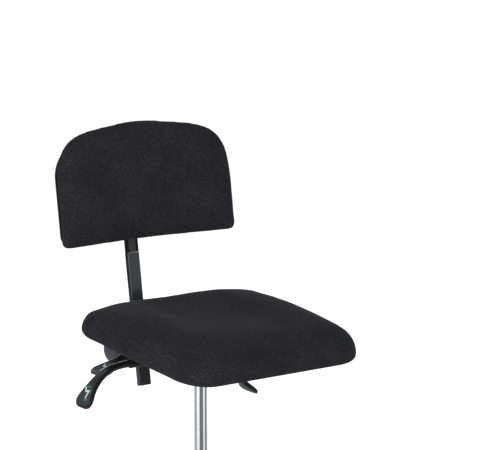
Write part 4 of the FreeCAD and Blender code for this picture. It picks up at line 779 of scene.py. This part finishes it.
camera = bpy.data.objects.new("Camera", bpy.data.cameras.new("Camera"))
scene.collection.objects.link(camera)
camera.data.lens = LENS
camera.data.sensor_width = SENSOR
camera.data.clip_end = CLIP_END
turned = Matrix((rightward, upward, toward)).transposed().to_4x4()
camera.matrix_world = Matrix.Translation(aim + toward * DISTANCE) @ turned
scene.camera = camera


# Light

WORLD_LIGHT = 0.32


def add_softbox(name, place, target, width, height, power):
    lamp = bpy.data.lights.new(name, "AREA")
    lamp.shape = "RECTANGLE"
    lamp.size = width
    lamp.size_y = height
    lamp.energy = power
    holder = bpy.data.objects.new(name, lamp)
    scene.collection.objects.link(holder)
    holder.location = place
    holder.rotation_euler = (Vector(target) - Vector(place)).to_track_quat("-Z", "Y").to_euler()


add_softbox("KeySoftbox", (-2.5, -1.7, 1.4), target=(0, 0, 0.65), width=1.6, height=1.6, power=60)
add_softbox("FillSoftbox", (2.0, -2.4, 1.25), target=(0, 0, 0.6), width=1.4, height=1.6, power=28)
add_softbox("TopSoftbox", (0.2, 0.6, 3.0), target=(0, 0, 0.6), width=2.0, height=2.0, power=3)
add_softbox("RearSoftbox", (0.5, 2.9, 0.85), target=(0, 0, 0.6), width=1.8, height=1.2, power=13)

world = bpy.data.worlds.new("Studio")
scene.world = world
world.use_nodes = True
world.node_tree.nodes.clear()


def world_light(colour, strength):
    node = add_node(world, "ShaderNodeBackground")
    node.inputs["Color"].default_value = (*colour, 1)
    node.inputs["Strength"].default_value = strength
    return node.outputs["Background"]


mixed = add_node(world, "ShaderNodeMixShader")
link(world, seen_directly(world), mixed.inputs["Fac"])
link(world, world_light((0.95, 0.97, 1.0), WORLD_LIGHT), mixed.inputs[1])
link(world, world_light((1, 1, 1), 1.0), mixed.inputs[2])
link(world, mixed.outputs["Shader"], add_node(world, "ShaderNodeOutputWorld").inputs["Surface"])


# Floor, whiter away from the chair so that its shadow stays, and the cards that metal and gloss reflect

FLOOR = 40.0
FLOOR_NEAR, FLOOR_FAR = 0.38, 0.74
LIFT_FROM, LIFT_TO = 0.45, 1.6
CARD_REACH, CARD_LOW, CARD_HIGH = 0.7, 0.002, 1.3
CARD_BLUE = 1.05


def stage_sheet(name, corners, material):
    mesh = bpy.data.meshes.new(name)
    mesh.from_pydata(corners, [], [(0, 1, 2, 3)])
    mesh.materials.append(material)
    sheet = bpy.data.objects.new(name, mesh)
    scene.collection.objects.link(sheet)
    return sheet


floor_paint = new_material("FloorPaint", (0.86, 0.86, 0.86), 0.9, Emission_Color=(1, 1, 1, 1))
away = add_node(floor_paint, "ShaderNodeVectorMath", operation="LENGTH")
link(floor_paint, object_space(floor_paint), away.inputs[0])
floor_lift = spread(floor_paint, away.outputs["Value"], FLOOR_NEAR, FLOOR_FAR, LIFT_FROM, LIFT_TO)
link(floor_paint, math_node(floor_paint, "MULTIPLY", seen_directly(floor_paint), floor_lift),
     shader_of(floor_paint).inputs["Emission Strength"])
floor_corners = [(-FLOOR, -FLOOR, 0), (FLOOR, -FLOOR, 0), (FLOOR, FLOOR, 0), (-FLOOR, FLOOR, 0)]
stage_sheet("floor", floor_corners, floor_paint)


def add_card(name, turn, width, shade, low=CARD_LOW, high=CARD_HIGH):
    """Upright card near the chair, seen only in reflections; its turn and width are degrees round the
    chair, from the camera's side."""
    paint = new_material(name + "Paint", (0, 0, 0), 1.0, Specular_IOR_Level=0.0,
                         Emission_Color=(shade, shade, CARD_BLUE * shade, 1), Emission_Strength=1.0)
    angle = AZIMUTH + math.radians(turn)
    out = Vector((math.sin(angle), -math.cos(angle), 0)) * CARD_REACH
    side = Vector((math.cos(angle), math.sin(angle), 0)) * CARD_REACH * math.tan(math.radians(width / 2))
    foot, head = Vector((0, 0, low)), Vector((0, 0, high))
    corners = [out - side + foot, out + side + foot, out + side + head, out - side + head]
    card = stage_sheet(name, corners, paint)
    card.visible_camera = False
    card.visible_diffuse = False
    card.visible_shadow = False
    card.visible_transmission = False


add_card("card_front", turn=11, width=66, shade=0.26)
add_card("card_side", turn=99, width=52, shade=0.34)
add_card("card_left", turn=-108, width=78, shade=0.6)
add_card("card_right", turn=58, width=34, shade=0.03, low=0.31, high=0.68)
add_card("card_post_foot", turn=79, width=18, shade=0.02, low=0.35, high=0.57)
add_card("card_post_front", turn=79, width=26, shade=1.0, low=0.6, high=0.95)
add_card("card_post_side", turn=-121, width=24, shade=0.02, low=0.42, high=0.66)
